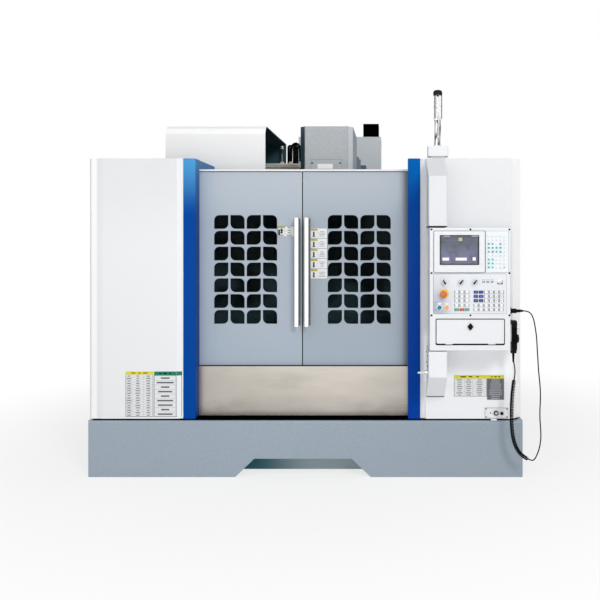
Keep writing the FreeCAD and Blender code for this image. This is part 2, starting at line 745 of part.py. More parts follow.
# Rubber seal between the tank and the enclosure.
seal = Piece("base_seal")
seal_x = side_x - s.seal_inset
seal_y = panel_y + s.seal_inset
seal.pad("XY", s.base_height, panel_foot_z, [
    (-seal_x, seal_y), (seal_x, seal_y), (seal_x, base_back_y),
    (seal_x - s.seal_width, base_back_y),
    (seal_x - s.seal_width, seal_y + s.seal_width),
    (-seal_x + s.seal_width, seal_y + s.seal_width),
    (-seal_x + s.seal_width, base_back_y), (-seal_x, base_back_y),
])

# Machine bed: a waisted casting with cored sides on levelling feet, Y rails on top
# and the Y ball screw in a channel between them.
bed = Piece("machine_bed")
half_bed = s.bed_width / 2
waist = half_bed - s.bed_waist
foot_flange_z = s.bed_foot_z + s.bed_waist
head_flange_z = s.bed_top_z - s.bed_waist
bed.pad("XZ", s.bed_front_y, s.bed_back_y, [
    (s.machine_x - half_bed, s.bed_foot_z), (s.machine_x + half_bed, s.bed_foot_z),
    (s.machine_x + half_bed, foot_flange_z), (s.machine_x + waist, foot_flange_z + s.bed_waist),
    (s.machine_x + waist, head_flange_z - s.bed_waist), (s.machine_x + half_bed, head_flange_z),
    (s.machine_x + half_bed, s.bed_top_z), (s.machine_x + s.screw_channel, s.bed_top_z),
    (s.machine_x + s.screw_channel, s.bed_top_z - s.channel_depth),
    (s.machine_x - s.screw_channel, s.bed_top_z - s.channel_depth),
    (s.machine_x - s.screw_channel, s.bed_top_z), (s.machine_x - half_bed, s.bed_top_z),
    (s.machine_x - half_bed, head_flange_z), (s.machine_x - waist, head_flange_z - s.bed_waist),
    (s.machine_x - waist, foot_flange_z + s.bed_waist), (s.machine_x - half_bed, foot_flange_z),
])
rail_y = [s.bed_front_y + 20, s.column_front_y - 15]
for side in (-1, 1):
    middle = s.machine_x + s.y_rail_spread * side
    half = s.rail_width / 2
    bed.pad("YZ", middle - half, middle + half,
            rect(rail_y[0], s.bed_top_z, rail_y[1], s.bed_top_z + s.rail_height))
for y in (s.bed_front_y + 110, (s.bed_front_y + s.bed_back_y) / 2, s.bed_back_y - 110):
    for side in (-1, 1):
        x = s.machine_x + s.y_rail_spread * side
        bed.pad("XY", 0, s.foot_thick, ring(x, y, s.foot_radius))
        bed.pad("XY", s.foot_thick, s.bed_foot_z, ring(x, y, s.foot_stud))
screw_z = s.bed_top_z - s.channel_depth / 2
bed.pad("XZ", s.bed_front_y, rail_y[1], ring(s.machine_x, screw_z, s.screw_radius))
for y in (s.bed_front_y, rail_y[1] - 60):
    bed.pad("XZ", y, y + 60, rect(s.machine_x - s.screw_channel, s.bed_top_z - s.channel_depth,
                                  s.machine_x + s.screw_channel, s.bed_top_z + 8))
half_motor = s.motor_width / 2
bed.pad("XZ", s.bed_front_y - s.motor_length, s.bed_front_y,
        bevelled(s.machine_x - half_motor, screw_z - half_motor,
                 s.machine_x + half_motor, screw_z + half_motor, 12))

# Side enclosures: bent sheets with a large front bend, a returned flange at the post
# and a cover over the door track.
sheet_t = s.sheet_metal
left = Piece("left_enclosure")
bend_x = -side_x + s.corner_bend
bend_y = panel_y + s.corner_bend
left.pad("XY", panel_foot_z, panel_top_z, [
    (left_post_outer, panel_y + s.fold_drop), (left_post_outer, post_back_y),
    (left_post_outer - sheet_t, post_back_y),
    (left_post_outer - sheet_t, panel_y + s.fold_drop + sheet_t),
    (left_post_outer - s.fold_width, panel_y + sheet_t),
    (bend_x, panel_y + sheet_t, s.corner_bend - sheet_t),
    (-inner_side, bend_y), (-inner_side, base_back_y), (-side_x, base_back_y),
    (-side_x, bend_y, s.corner_bend), (bend_x, panel_y),
    (left_post_outer - s.fold_width, panel_y),
])
left.pad("XY", panel_top_z - sheet_t, panel_top_z, [
    (left_post_outer - sheet_t, panel_y + s.fold_drop), (left_post_outer - sheet_t, door_back_y),
    (-inner_side, door_back_y), (-inner_side, bend_y),
    (bend_x, panel_y + sheet_t),
    (left_post_outer - s.fold_width, panel_y + sheet_t),
])
right = Piece("right_enclosure")
groove_x = right_post_outer + s.groove_width
cham_x = side_x - s.right_bend
cham_y = panel_y + s.right_bend
right.pad("XY", panel_foot_z, panel_top_z, [
    (right_post_outer, panel_y + s.groove_depth), (groove_x, panel_y + s.groove_depth),
    (groove_x, panel_y), (cham_x, panel_y), (side_x, cham_y), (side_x, base_back_y),
    (inner_side, base_back_y), (inner_side, cham_y + sheet_t / 2),
    (cham_x - sheet_t / 2, panel_y + sheet_t), (groove_x + sheet_t, panel_y + sheet_t),
    (groove_x + sheet_t, panel_y + s.groove_depth + sheet_t),
    (right_post_outer + sheet_t, panel_y + s.groove_depth + sheet_t),
    (right_post_outer + sheet_t, post_back_y), (right_post_outer, post_back_y),
])
right.pad("XY", panel_top_z - sheet_t, panel_top_z, [
    (right_post_outer + sheet_t, panel_y + s.groove_depth + sheet_t),
    (groove_x + sheet_t, panel_y + s.groove_depth + sheet_t),
    (groove_x + sheet_t, panel_y + sheet_t), (cham_x - sheet_t / 2, panel_y + sheet_t),
    (inner_side, cham_y + sheet_t / 2), (inner_side, door_back_y),
    (right_post_outer + sheet_t, door_back_y),
])

# Door posts: square tubes with rounded edges. The left one carries the roof side beam.
for label, x in (("left_post", left_post_outer), ("right_post", s.right_post_x)):
    post = Piece(label)
    post.pad("XY", panel_foot_z, panel_top_z,
             rounded(x, panel_y, x + s.post_width, post_back_y, s.post_radius, "ab"))
roof = Piece("roof_side_beam")
roof.pad("XZ", post_back_y, s.mag_front_y,
         rounded(left_post_outer, rail_top_z, s.left_post_x,
                 rail_top_z + s.beam_height, s.post_radius, "cd"))

# Front apron: a folded sheet between the posts, below the doors.
apron = Piece("front_apron")
apron.pad("YZ", s.left_post_x, s.right_post_x, [
    (apron_y, panel_foot_z), (apron_y + s.apron_flange, panel_foot_z),
    (apron_y + s.apron_flange, panel_foot_z + sheet_t), (apron_y + sheet_t, panel_foot_z + sheet_t),
    (apron_y + sheet_t, s.apron_top_z - sheet_t),
    (apron_y + s.apron_flange - 6, s.apron_top_z - sheet_t),
    (apron_y + s.apron_flange - 6, s.apron_top_z), (apron_y, s.apron_top_z),
])

# Door top rail: one profile over the doors, with the roller track behind them.
lip_y = door_y - s.rail_room
web_y = door_back_y + 15
rail = Piece("door_top_rail")
rail.pad("YZ", -inner_side, inner_side, [
    (lip_y - sheet_t, rail_top_z - s.rail_lip), (lip_y, rail_top_z - s.rail_lip),
    (lip_y, rail_top_z - sheet_t), (web_y, rail_top_z - sheet_t),
    (web_y, track_z), (door_back_y + 2, track_z),
    (door_back_y + 2, track_z - sheet_t), (web_y, track_z - sheet_t),
    (web_y, track_z - 18), (web_y + sheet_t, track_z - 18),
    (web_y + sheet_t, rail_top_z), (lip_y - sheet_t, rail_top_z),
])
guide = Piece("door_bottom_rail")
guide_foot_z = s.door_foot_z - s.guide_drop
guide_back = door_back_y + s.rail_room
guide.pad("YZ", -inner_side, inner_side, [
    (lip_y - sheet_t, guide_foot_z), (guide_back + sheet_t, guide_foot_z),
    (guide_back + sheet_t, guide_foot_z + s.guide_wall),
    (guide_back, guide_foot_z + s.guide_wall), (guide_back, guide_foot_z + sheet_t),
    (lip_y, guide_foot_z + sheet_t), (lip_y, guide_foot_z + s.guide_wall),
    (lip_y - sheet_t, guide_foot_z + s.guide_wall),
])

# Sliding doors: folded trays with a grid of rounded panes, glass behind it, a flat
# tube handle on stand-offs, and two rollers that hang on the track.
window_width = s.pane_width * s.pane_columns + s.pane_rib * (s.pane_columns - 1)
window_height = s.pane_height * s.pane_rows + s.pane_rib * (s.pane_rows - 1)
pane_pitch = s.pane_width + s.pane_rib
row_pitch = s.pane_height + s.pane_rib
roller_z = track_z + s.roller_radius + s.soft_gap
skin_y = door_y + sheet_t
roller_y = door_back_y + 1.5
for side, x0, x1, window_x, handle_x in (
    ("left", s.left_post_x - s.door_hidden, s.seam_x - s.seam_gap / 2,
     s.left_window_x, s.left_handle_x),
    ("right", s.seam_x + s.seam_gap / 2, s.right_post_x + s.door_hidden,
     s.right_window_x, s.right_handle_x),
):
    door = Piece(side + "_door_panel")
    door.pad("XZ", door_y, door_back_y, rect(x0, s.door_foot_z, x1, s.door_head_z))
    door.cut("XZ", skin_y, door_back_y,
             rect(x0 + sheet_t, s.door_foot_z + sheet_t, x1 - sheet_t, s.door_head_z - 60))
    start_x = window_x - window_width / 2
    for first, corners in ((0, "bd"), (1, "ac")):
        px = start_x + pane_pitch * first
        pane = door.cut("XZ", door_y, skin_y,
                        rounded(px, s.window_foot_z, px + s.pane_width,
                                s.window_foot_z + s.pane_height, s.pane_radius, corners))
        door.grid(pane, pane_pitch * 2, s.pane_columns / 2, row_pitch, s.pane_rows)
    top = s.window_foot_z + window_height
    for z in (s.window_foot_z - s.glass_lap - 60, top + s.glass_lap + 30):
        door.pad("XZ", skin_y, skin_y + s.door_rib,
                 rect(x0 + sheet_t, z, x1 - sheet_t, z + 30))
    for x in (x0 + s.roller_inset, x1 - s.roller_inset):
        door.pad("XZ", door_back_y, roller_y, ring(x, roller_z, 9))
        door.pad("XZ", roller_y, roller_y + s.roller_thick, ring(x, roller_z, s.roller_radius))
    glass = block(side + "_door_glass",
                  start_x - s.glass_lap, skin_y, s.window_foot_z - s.glass_lap,
                  start_x + window_width + s.glass_lap, skin_y + s.glass_thick,
                  top + s.glass_lap)
    keep(glass)
    handle = Piece(side + "_door_handle")
    front = door_y - s.handle_reach
    half = s.handle_width / 2
    round_end = s.handle_thick / 2 - 0.5
    handle.pad("XY", s.handle_foot_z, s.handle_foot_z + s.handle_length,
               rounded(handle_x - half, front, handle_x + half,
                       front + s.handle_thick, round_end))
    for z in (s.handle_foot_z + s.handle_post_inset,
              s.handle_foot_z + s.handle_length - s.handle_post_inset):
        handle.pad("XZ", front + s.handle_thick, door_y, ring(handle_x, z, s.handle_post / 2))

# Chip pans: sloped sheets from the enclosure sides down to the bed.
pans = Piece("chip_pans")
pans.pad("XZ", guide_back + sheet_t + 4, s.guard_y, [
    (-inner_side, s.pan_high_z - sheet_t), (-inner_side, s.pan_high_z),
    (bed_left - sheet_t - 4, s.pan_low_z), (bed_left, s.pan_low_z),
    (bed_left, s.pan_low_z - sheet_t), (bed_left - sheet_t - 5, s.pan_low_z - sheet_t),
])
pans.pad("XZ", guide_back + sheet_t + 4, s.guard_y, [
    (inner_side, s.pan_high_z - sheet_t), (bed_right + sheet_t + 5, s.pan_low_z - sheet_t),
    (bed_right, s.pan_low_z - sheet_t), (bed_right, s.pan_low_z),
    (bed_right + sheet_t + 4, s.pan_low_z), (inner_side, s.pan_high_z),
])

# Column: a shouldered casting with the Z rails on its front and the Z screw in a channel.
column = Piece("column")
column.pad("XZ", s.column_front_y, column_back_y, [
    (bed_left, s.bed_top_z), (bed_right, s.bed_top_z), (bed_right, s.shoulder_low_z),
    (column_right, s.shoulder_high_z), (column_right, s.column_top_z),
    (column_left, s.column_top_z), (column_left, s.shoulder_high_z),
    (bed_left, s.shoulder_low_z),
])
column.cut("XY", s.z_rail_foot_z, s.column_top_z,
           rect(s.machine_x - s.screw_channel, s.column_front_y,
                s.machine_x + s.screw_channel, s.column_front_y + s.channel_depth + 20))
for side in (-1, 1):
    middle = s.machine_x + s.z_rail_spread * side
    half = s.rail_width / 2
    column.pad("XY", s.z_rail_foot_z, s.column_top_z - 10,
               rect(middle - half, s.column_front_y - s.rail_height,
                    middle + half, s.column_front_y))
z_screw_y = s.column_front_y + s.channel_depth / 2
column.pad("XY", s.z_rail_foot_z, s.column_top_z, ring(s.machine_x, z_screw_y, s.screw_radius))
rib_z = s.shoulder_high_z + 60
column.cut("YZ", column_left, column_left + 30,
           rounded(s.column_front_y + 90, rib_z, column_back_y - 90,
                   s.column_top_z - 120, 40))
column.cut("YZ", column_right - 30, column_right,
           rounded(s.column_front_y + 90, rib_z, column_back_y - 90,
                   s.column_top_z - 120, 40))

# Z servo motor on a bracket over the screw.
motor = Piece("z_servo_motor")
half = s.z_motor_width / 2
bracket_z = s.column_top_z + 40
for side in (-1, 1):
    x = s.machine_x + (half + 15) * side
    motor.pad("XY", s.column_top_z, bracket_z,
              rect(x - 12, s.column_front_y + 4, x + 12, s.column_front_y + s.z_motor_width + 4))
motor.pad("XY", bracket_z, bracket_z + 20,
          rounded(s.machine_x - half - 27, s.column_front_y + 4, s.machine_x + half + 27,
                  s.column_front_y + s.z_motor_width + 4, 8))
motor_y = s.column_front_y + 4 + half
motor.pad("XY", bracket_z + 20, s.column_top_z + s.z_motor_height,
          bevelled(s.machine_x - half, motor_y - half, s.machine_x + half, motor_y + half, 22))
motor.pad("XY", s.column_top_z + s.z_motor_height, s.column_top_z + s.z_motor_height + 35,
          rounded(s.machine_x - half + 12, motor_y - half + 12,
                  s.machine_x + half - 12, motor_y + half - 12, 20))

# Rear guard of the work space: two sheets that follow the column.
guard = Piece("rear_guard")
guard.pad("XZ", s.guard_y, s.guard_y + sheet_t, [
    (-inner_side, s.guard_foot_z), (bed_left, s.guard_foot_z),
    (bed_left, s.shoulder_low_z), (column_left, s.shoulder_high_z),
    (column_left, panel_top_z), (-inner_side, panel_top_z),
])
guard.pad("XZ", s.guard_y, s.guard_y + sheet_t, [
    (inner_side, s.guard_foot_z), (inner_side, panel_top_z),
    (column_right, panel_top_z), (column_right, s.shoulder_high_z),
    (bed_right, s.shoulder_low_z), (bed_right, s.guard_foot_z),
])

# Saddle: a plate on four blocks that grip the Y rails, four blocks on top that grip
# the table's rails, the X screw in a channel and the X servo motor at its left end.
saddle = Piece("saddle")
saddle_y0 = s.spindle_y - s.saddle_length / 2
saddle_y1 = s.spindle_y + s.saddle_length / 2
saddle_x0 = s.machine_x - s.saddle_width / 2
saddle_x1 = s.machine_x + s.saddle_width / 2
x_block_top = s.table_top_z - s.table_thick
x_rail_foot = x_block_top - s.rail_height
saddle_screw_z = s.saddle_top_z - 20
saddle.pad("YZ", saddle_x0, saddle_x1, [
    (saddle_y0, s.saddle_foot_z + 30), (saddle_y0 + 30, s.saddle_foot_z),
    (saddle_y1 - 30, s.saddle_foot_z), (saddle_y1, s.saddle_foot_z + 30),
    (saddle_y1, s.saddle_top_z), (s.spindle_y + 60, s.saddle_top_z),
    (s.spindle_y + 60, s.saddle_top_z - 50), (s.spindle_y - 60, s.saddle_top_z - 50),
    (s.spindle_y - 60, s.saddle_top_z), (saddle_y0, s.saddle_top_z),
])
grip = s.rail_width / 2 + s.rail_fit
block_foot_z = s.bed_top_z + 9
for side in (-1, 1):
    middle = s.machine_x + s.y_rail_spread * side
    for y in (saddle_y0 + s.block_inset, saddle_y1 - s.block_inset - s.block_length):
        rail_top = s.bed_top_z + s.rail_height + s.rail_fit
        saddle.pad("XZ", y, y + s.block_length, [
            (middle - s.block_width / 2, block_foot_z), (middle - grip, block_foot_z),
            (middle - grip, rail_top), (middle + grip, rail_top), (middle + grip, block_foot_z),
            (middle + s.block_width / 2, block_foot_z),
            (middle + s.block_width / 2, s.saddle_foot_z),
            (middle - s.block_width / 2, s.saddle_foot_z),
        ])
for side in (-1, 1):
    middle = s.spindle_y + s.x_rail_spread * side
    for x in (s.machine_x - 75 - s.block_length / 2, s.machine_x + 75 - s.block_length / 2):
        rail_foot = x_rail_foot - s.rail_fit
        block_top = x_block_top - 9
        saddle.pad("YZ", x, x + s.block_length, [
            (middle - s.block_width / 2, s.saddle_top_z),
            (middle + s.block_width / 2, s.saddle_top_z),
            (middle + s.block_width / 2, block_top), (middle + grip, block_top),
            (middle + grip, rail_foot), (middle - grip, rail_foot), (middle - grip, block_top),
            (middle - s.block_width / 2, block_top),
        ])
saddle.pad("YZ", saddle_x0, saddle_x1, ring(s.spindle_y, saddle_screw_z, s.screw_radius))
for x in (saddle_x0, saddle_x1 - 40):
    saddle.pad("YZ", x, x + 40, rect(s.spindle_y - 60, s.saddle_top_z - 50,
                                     s.spindle_y + 60, s.saddle_top_z + 6))
saddle.pad("YZ", saddle_x0 - s.motor_length, saddle_x0,
           bevelled(s.spindle_y - half_motor, saddle_screw_z - half_motor,
                    s.spindle_y + half_motor, saddle_screw_z + half_motor, 12))

# Table: T-slotted plate with end gutters and the X rails below it.
table = Piece("table")
table_x0 = s.machine_x - s.table_length / 2
table_x1 = s.machine_x + s.table_length / 2
table_y0 = s.spindle_y - s.table_width / 2
table_y1 = s.spindle_y + s.table_width / 2
table.pad("YZ", table_x0, table_x1, [
    (table_y0, s.table_top_z - s.table_thick + 24), (table_y0 + 24, s.table_top_z - s.table_thick),
    (table_y1 - 24, s.table_top_z - s.table_thick), (table_y1, s.table_top_z - s.table_thick + 24),
    (table_y1, s.table_top_z), (table_y0, s.table_top_z),
])
first_slot = s.spindle_y - s.slot_pitch * (s.slot_count - 1) / 2
neck_z = s.table_top_z - s.slot_neck
slot_floor_z = neck_z - s.slot_head_depth
slot = table.cut("YZ", table_x0, table_x1, [
    (first_slot - s.slot_head_width / 2, slot_floor_z),
    (first_slot + s.slot_head_width / 2, slot_floor_z),
    (first_slot + s.slot_head_width / 2, neck_z), (first_slot + s.slot_width / 2, neck_z),
    (first_slot + s.slot_width / 2, s.table_top_z), (first_slot - s.slot_width / 2, s.table_top_z),
    (first_slot - s.slot_width / 2, neck_z), (first_slot - s.slot_head_width / 2, neck_z),
])
table.row(slot, "H_Axis", s.slot_pitch, s.slot_count)
for x in (table_x0 + 14, table_x1 - 14 - s.gutter_width):
    table.cut("XY", s.table_top_z - s.gutter_depth, s.table_top_z,
              rect(x, table_y0 + 14, x + s.gutter_width, table_y1 - 14))
for side in (-1, 1):
    middle = s.spindle_y + s.x_rail_spread * side
    table.pad("YZ", table_x0 + 8, table_x1 - 8,
              rect(middle - s.rail_width / 2, x_rail_foot,
                   middle + s.rail_width / 2, x_block_top))

# Head: slide plate with four blocks on the Z rails, a deep arm, the spindle housing
# and the spindle motor on top of it.
plate_y1 = s.column_front_y - s.rail_height - 8
plate_y0 = plate_y1 - s.head_plate_thick
head = Piece("head_casting")
half_plate = s.head_plate_width / 2
head.pad("XZ", plate_y0, plate_y1,
         rounded(s.machine_x - half_plate, s.head_plate_foot_z, s.machine_x + half_plate,
                 s.head_plate_top_z, 20))
for side in (-1, 1):
    middle = s.machine_x + s.z_rail_spread * side
    back = s.column_front_y - 9
    rail_face = s.column_front_y - s.rail_height - s.rail_fit
    for z in (s.head_plate_foot_z + 20, s.head_plate_top_z - 20 - s.block_length):
        head.pad("XY", z, z + s.block_length, [
            (middle - s.block_width / 2, plate_y1), (middle + s.block_width / 2, plate_y1),
            (middle + s.block_width / 2, back), (middle + grip, back),
            (middle + grip, rail_face), (middle - grip, rail_face), (middle - grip, back),
            (middle - s.block_width / 2, back),
        ])
half_head = s.head_width / 2
head.pad("YZ", s.machine_x - half_head, s.machine_x + half_head, [
    (plate_y0, s.head_plate_foot_z + 10), (plate_y0, s.head_plate_top_z - 30),
    (plate_y0 - 90, s.head_top_z), (s.head_front_y, s.head_top_z),
    (s.head_front_y, s.head_foot_z + 40), (s.head_front_y + 40, s.head_foot_z),
    (plate_y0 - 120, s.head_foot_z),
])
head.pad("XY", s.quill_foot_z, s.head_foot_z, ring(s.machine_x, s.spindle_y, s.quill_radius))
head.pad("XY", s.head_top_z, s.motor_top_z, ring(s.machine_x, s.spindle_y, s.motor_radius))
head.cut("XY", s.quill_foot_z, s.quill_foot_z + 60,
         ring(s.machine_x, s.spindle_y, s.nose_radius + 3))

# Head cover: sheet hood with bevelled corners, open below and at the back.
hood = Piece("head_cover")
half_cover = s.cover_width / 2
hood.pad("XY", s.cover_foot_z, s.cover_top_z,
         bevelled(s.machine_x - half_cover, s.cover_front_y, s.machine_x + half_cover,
                  s.cover_back_y, s.cover_bevel, "ab"))
inner_bevel = s.cover_bevel - sheet_t / 2
hood.cut("XY", s.cover_foot_z, s.cover_top_z - sheet_t,
         bevelled(s.machine_x - half_cover + sheet_t, s.cover_front_y + sheet_t,
                  s.machine_x + half_cover - sheet_t, s.cover_back_y, inner_bevel, "ab"))
for side in (-1, 1):
    inner = s.machine_x + half_head * side
    outer = s.machine_x + (half_cover - sheet_t) * side
    low, high = (outer, inner) if side < 0 else (inner, outer)
    hood.pad("XY", s.head_foot_z + 60, s.head_foot_z + 90,
             rect(low, s.cover_back_y - 60, high, s.cover_back_y - 20))

# Spindle: nose with a taper socket and two drive keys.
spindle = Piece("spindle", at=(s.machine_x, s.spindle_y, s.nose_z))
shank = s.quill_foot_z + 60 - s.nose_z - s.soft_gap
spindle.turn("XZ", [
    (s.taper_radius, 0), (s.nose_radius - 8, 0), (s.nose_radius, 8),
    (s.nose_radius, s.nose_height - 2), (s.nose_radius - 6, s.nose_height),
    (s.nose_radius - 6, shank), (0, shank), (0, s.taper_depth),
    (s.taper_end_radius, s.taper_depth),
])
for side in (-1, 1):
    low, high = (s.taper_radius + 6, s.nose_radius - 10)
    if side < 0:
        low, high = -high, -low
    spindle.pad("XY", -s.key_height, 0, rect(low, -s.key_width / 2, high, s.key_width / 2))

# Magazine beam on the column side, with its rails, rodless cylinder and the rod with a ball.
beam = Piece("magazine_beam")
beam_back_y = s.beam_front_y + s.beam_depth
cover_inner_x = s.cover_left_x + sheet_t
beam.pad("YZ", cover_inner_x, column_left,
         rounded(s.beam_front_y, s.beam_foot_z, beam_back_y, s.beam_top_z, 6))
rail_low_z = s.beam_foot_z + 10
rail_high_z = s.beam_top_z - 10 - s.mag_rail_width
for z in (rail_low_z, rail_high_z):
    beam.pad("YZ", cover_inner_x + 30, column_left - 12,
             rect(s.beam_front_y - s.mag_rail_height, z, s.beam_front_y, z + s.mag_rail_width))
beam.pad("XY", s.beam_top_z, s.ball_z - s.ball_radius + 2,
         ring(s.ball_x, s.beam_front_y + 30, s.ball_radius / 2))
beam.pad("XY", s.beam_top_z, s.beam_top_z + 14,
         ring(s.ball_x, s.beam_front_y + 30, s.ball_radius + 4))
beam.pad("XY", s.ball_z - s.ball_radius, s.ball_z + s.ball_radius,
         ring(s.ball_x, s.beam_front_y + 30, s.ball_radius))
for x in (s.conduit_left_x, s.conduit_right_x):
    beam.pad("XY", s.beam_top_z, s.beam_top_z + 16,
             ring(x, s.beam_front_y + 30, s.conduit_radius + 5))

# Magazine cover: white hood over the carousel, open below and to the right.
cover = Piece("magazine_cover")
bend = s.mag_bend
inner_bend = bend - sheet_t
cover.pad("YZ", s.cover_left_x, s.cover_right_x, [
    (s.mag_front_y, s.mag_foot_z), (s.mag_front_y + sheet_t, s.mag_foot_z),
    (s.mag_front_y + sheet_t, s.mag_top_z - bend, -inner_bend),
    (s.mag_front_y + bend, s.mag_top_z - sheet_t), (s.mag_back_y, s.mag_top_z - sheet_t),
    (s.mag_back_y, s.mag_top_z), (s.mag_front_y + bend, s.mag_top_z, bend),
    (s.mag_front_y, s.mag_top_z - bend),
])
cover.pad("YZ", s.cover_left_x, cover_inner_x, [
    (s.mag_front_y + 1, s.mag_foot_z), (s.mag_back_y, s.mag_foot_z),
    (s.mag_back_y, s.mag_top_z - 1), (s.mag_front_y + bend, s.mag_top_z - 1, bend - 1),
    (s.mag_front_y + 1, s.mag_top_z - bend),
])
cover.pad("XZ", s.mag_back_y - sheet_t, s.mag_back_y,
          rect(cover_inner_x - 1, s.mag_foot_z, s.cover_right_x, s.mag_top_z - 1))

# Magazine carriage: slide plate on the beam rails, arm over the carousel, hub and motor.
carriage = Piece("magazine_carriage")
slide_back_y = s.beam_front_y - s.mag_rail_height - 2
slide_front_y = slide_back_y - s.slide_plate
arm_top_z = s.arm_foot_z + s.arm_thick
carriage.pad("XZ", slide_front_y, slide_back_y,
             rect(s.arm_left_x, s.arm_foot_z, s.tongue_right_x, s.beam_top_z - 8))
for z in (rail_low_z, rail_high_z):
    for x in (s.arm_left_x + 10, s.tongue_right_x - 70):
        mid = z + s.mag_rail_width / 2
        half = s.mag_rail_width / 2
        fit = half + s.rail_fit
        front = s.beam_front_y - s.mag_rail_height - s.rail_fit
        tip = s.beam_front_y - 5
        carriage.pad("YZ", x, x + 60, [
            (slide_back_y, mid - half - 9), (tip, mid - half - 9), (tip, mid - fit),
            (front, mid - fit), (front, mid + fit), (tip, mid + fit),
            (tip, mid + half + 9), (slide_back_y, mid + half + 9),
        ])
carriage.pad("XY", s.arm_foot_z, arm_top_z, [
    (s.arm_left_x, s.arm_front_y + 90), (s.arm_left_x + 90, s.arm_front_y),
    (s.arm_right_x - 60, s.arm_front_y), (s.arm_right_x, s.arm_front_y + 60),
    (s.arm_right_x, s.arm_back_y - 60), (s.arm_right_x - 60, s.arm_back_y),
    (s.tongue_right_x, s.arm_back_y), (s.tongue_right_x, slide_front_y),
    (s.arm_left_x, slide_front_y),
])
for x in (s.arm_left_x, s.tongue_right_x - 20):
    carriage.pad("YZ", x, x + 20, [
        (s.arm_back_y - 60, arm_top_z), (slide_front_y, arm_top_z),
        (slide_front_y, s.beam_top_z - 60), (slide_front_y - 20, s.beam_top_z - 60),
    ])
hub_foot_z = s.carousel_z + s.carousel_thick + s.soft_gap
carriage.pad("XY", hub_foot_z + 20, s.arm_foot_z,
             ring(s.carousel_x, s.spindle_y, s.hub_radius))
carriage.pad("XY", hub_foot_z, hub_foot_z + 20,
             ring(s.carousel_x, s.spindle_y, s.hub_radius - 30))
motor_x = s.arm_left_x + 30 + s.mag_motor_radius
carriage.pad("XY", arm_top_z, arm_top_z + s.mag_motor_height,
             ring(motor_x, s.spindle_y + 20, s.mag_motor_radius))

# Carousel: disc with one notch, fork and tool holder for each pocket.
carousel = Piece("carousel", at=(s.carousel_x, s.spindle_y, s.carousel_z))
carousel.turn("XZ", [
    (0, 0), (s.carousel_radius - 8, 0), (s.carousel_radius, 8),
    (s.carousel_radius, s.carousel_thick), (0, s.carousel_thick),
])
flange_half = s.flange_height / 2
disc_mid = s.carousel_thick / 2
fork = carousel.pad("XY", disc_mid - 5, disc_mid + 5, [
    (s.carousel_radius - 30, -34), (s.pocket_radius + 6, -34), (s.pocket_radius + 22, -24),
    (s.pocket_radius, -s.holder_radius, -s.holder_radius - 1),
    (s.pocket_radius, s.holder_radius), (s.pocket_radius + 22, 24),
    (s.pocket_radius + 6, 34), (s.carousel_radius - 30, 34),
])
carousel.polar(fork, s.pocket_count)
flange = carousel.pad("XY", disc_mid - 5, disc_mid + flange_half,
                      ring(s.pocket_radius, 0, s.holder_radius + 2))
carousel.polar(flange, s.pocket_count)
collar = carousel.pad("XY", disc_mid - 5 - flange_half, disc_mid - 5,
                      ring(s.pocket_radius, 0, s.flange_radius))
carousel.polar(collar, s.pocket_count)
taper = carousel.pad("XY", disc_mid + flange_half, disc_mid + flange_half + s.holder_taper,
                     ring(s.pocket_radius, 0, s.holder_radius))
taper.setExpression("TaperAngle", "0 - sizes.holder_angle")
carousel.polar(taper, s.pocket_count)
nut = carousel.pad("XY", disc_mid - 5 - flange_half - s.tool_length,
                   disc_mid - 5 - flange_half, ring(s.pocket_radius, 0, s.tool_radius))
carousel.polar(nut, s.tool_count)
bit_top = disc_mid - 5 - flange_half - s.tool_length
bit = carousel.pad("XY", bit_top - s.bit_length, bit_top,
                   ring(s.pocket_radius, 0, s.bit_radius))
carousel.polar(bit, s.tool_count)

# Electrical cabinet at the back, open at its back for the door, with a fan on top.
cabinet = Piece("electrical_cabinet")
cab_x0 = s.cabinet_x - s.cabinet_width / 2
cab_x1 = s.cabinet_x + s.cabinet_width / 2
cab_back_y = s.cabinet_front_y + s.cabinet_depth
cabinet.pad("XY", s.plinth_height, s.cabinet_top_z,
            rect(cab_x0, s.cabinet_front_y, cab_x1, cab_back_y))
cabinet.pad("XY", 0, s.plinth_height,
            rect(cab_x0 + s.plinth_inset, s.cabinet_front_y + s.plinth_inset,
                 cab_x1 - s.plinth_inset, cab_back_y - s.plinth_inset))
edge = s.cabinet_door_edge
cabinet.cut("XZ", s.cabinet_front_y + 60, cab_back_y,
            rect(cab_x0 + edge, s.plinth_height + edge, cab_x1 - edge, s.cabinet_top_z - edge))
for z in (s.shoulder_low_z - 250, s.column_top_z - 160):
    for x in (column_left + 60, column_right - 100):
        cabinet.pad("XZ", column_back_y, s.cabinet_front_y, rect(x, z, x + 40, z + 60))

cabinet_door = Piece("cabinet_door")
door_gap = 2
cd_y0 = cab_back_y + s.soft_gap
cd_y1 = cd_y0 + s.cabinet_door_thick
cabinet_door.pad("XZ", cd_y0, cd_y1,
                 rounded(cab_x0 + door_gap, s.plinth_height + door_gap, cab_x1 - door_gap,
                         s.cabinet_top_z - door_gap, 5))
for z in (600, 1200, 1800):
    cabinet_door.pad("XY", z - 40, z + 40, ring(cab_x0 + door_gap, cd_y1 - 4, 7))
cabinet_latch = Piece("cabinet_latch", at=(cab_x1 - 45, cd_y1 + s.soft_gap, 1220))
cabinet_latch.pad("XZ", 0, 7, rounded(-14, -80, 14, 60, 13))
cabinet_latch.pad("XZ", 7, 18, rounded(-9, -76, 9, 30, 8))
cabinet_latch.pad("XZ", 18, 21, ring(0, 0, s.latch_core + 2))

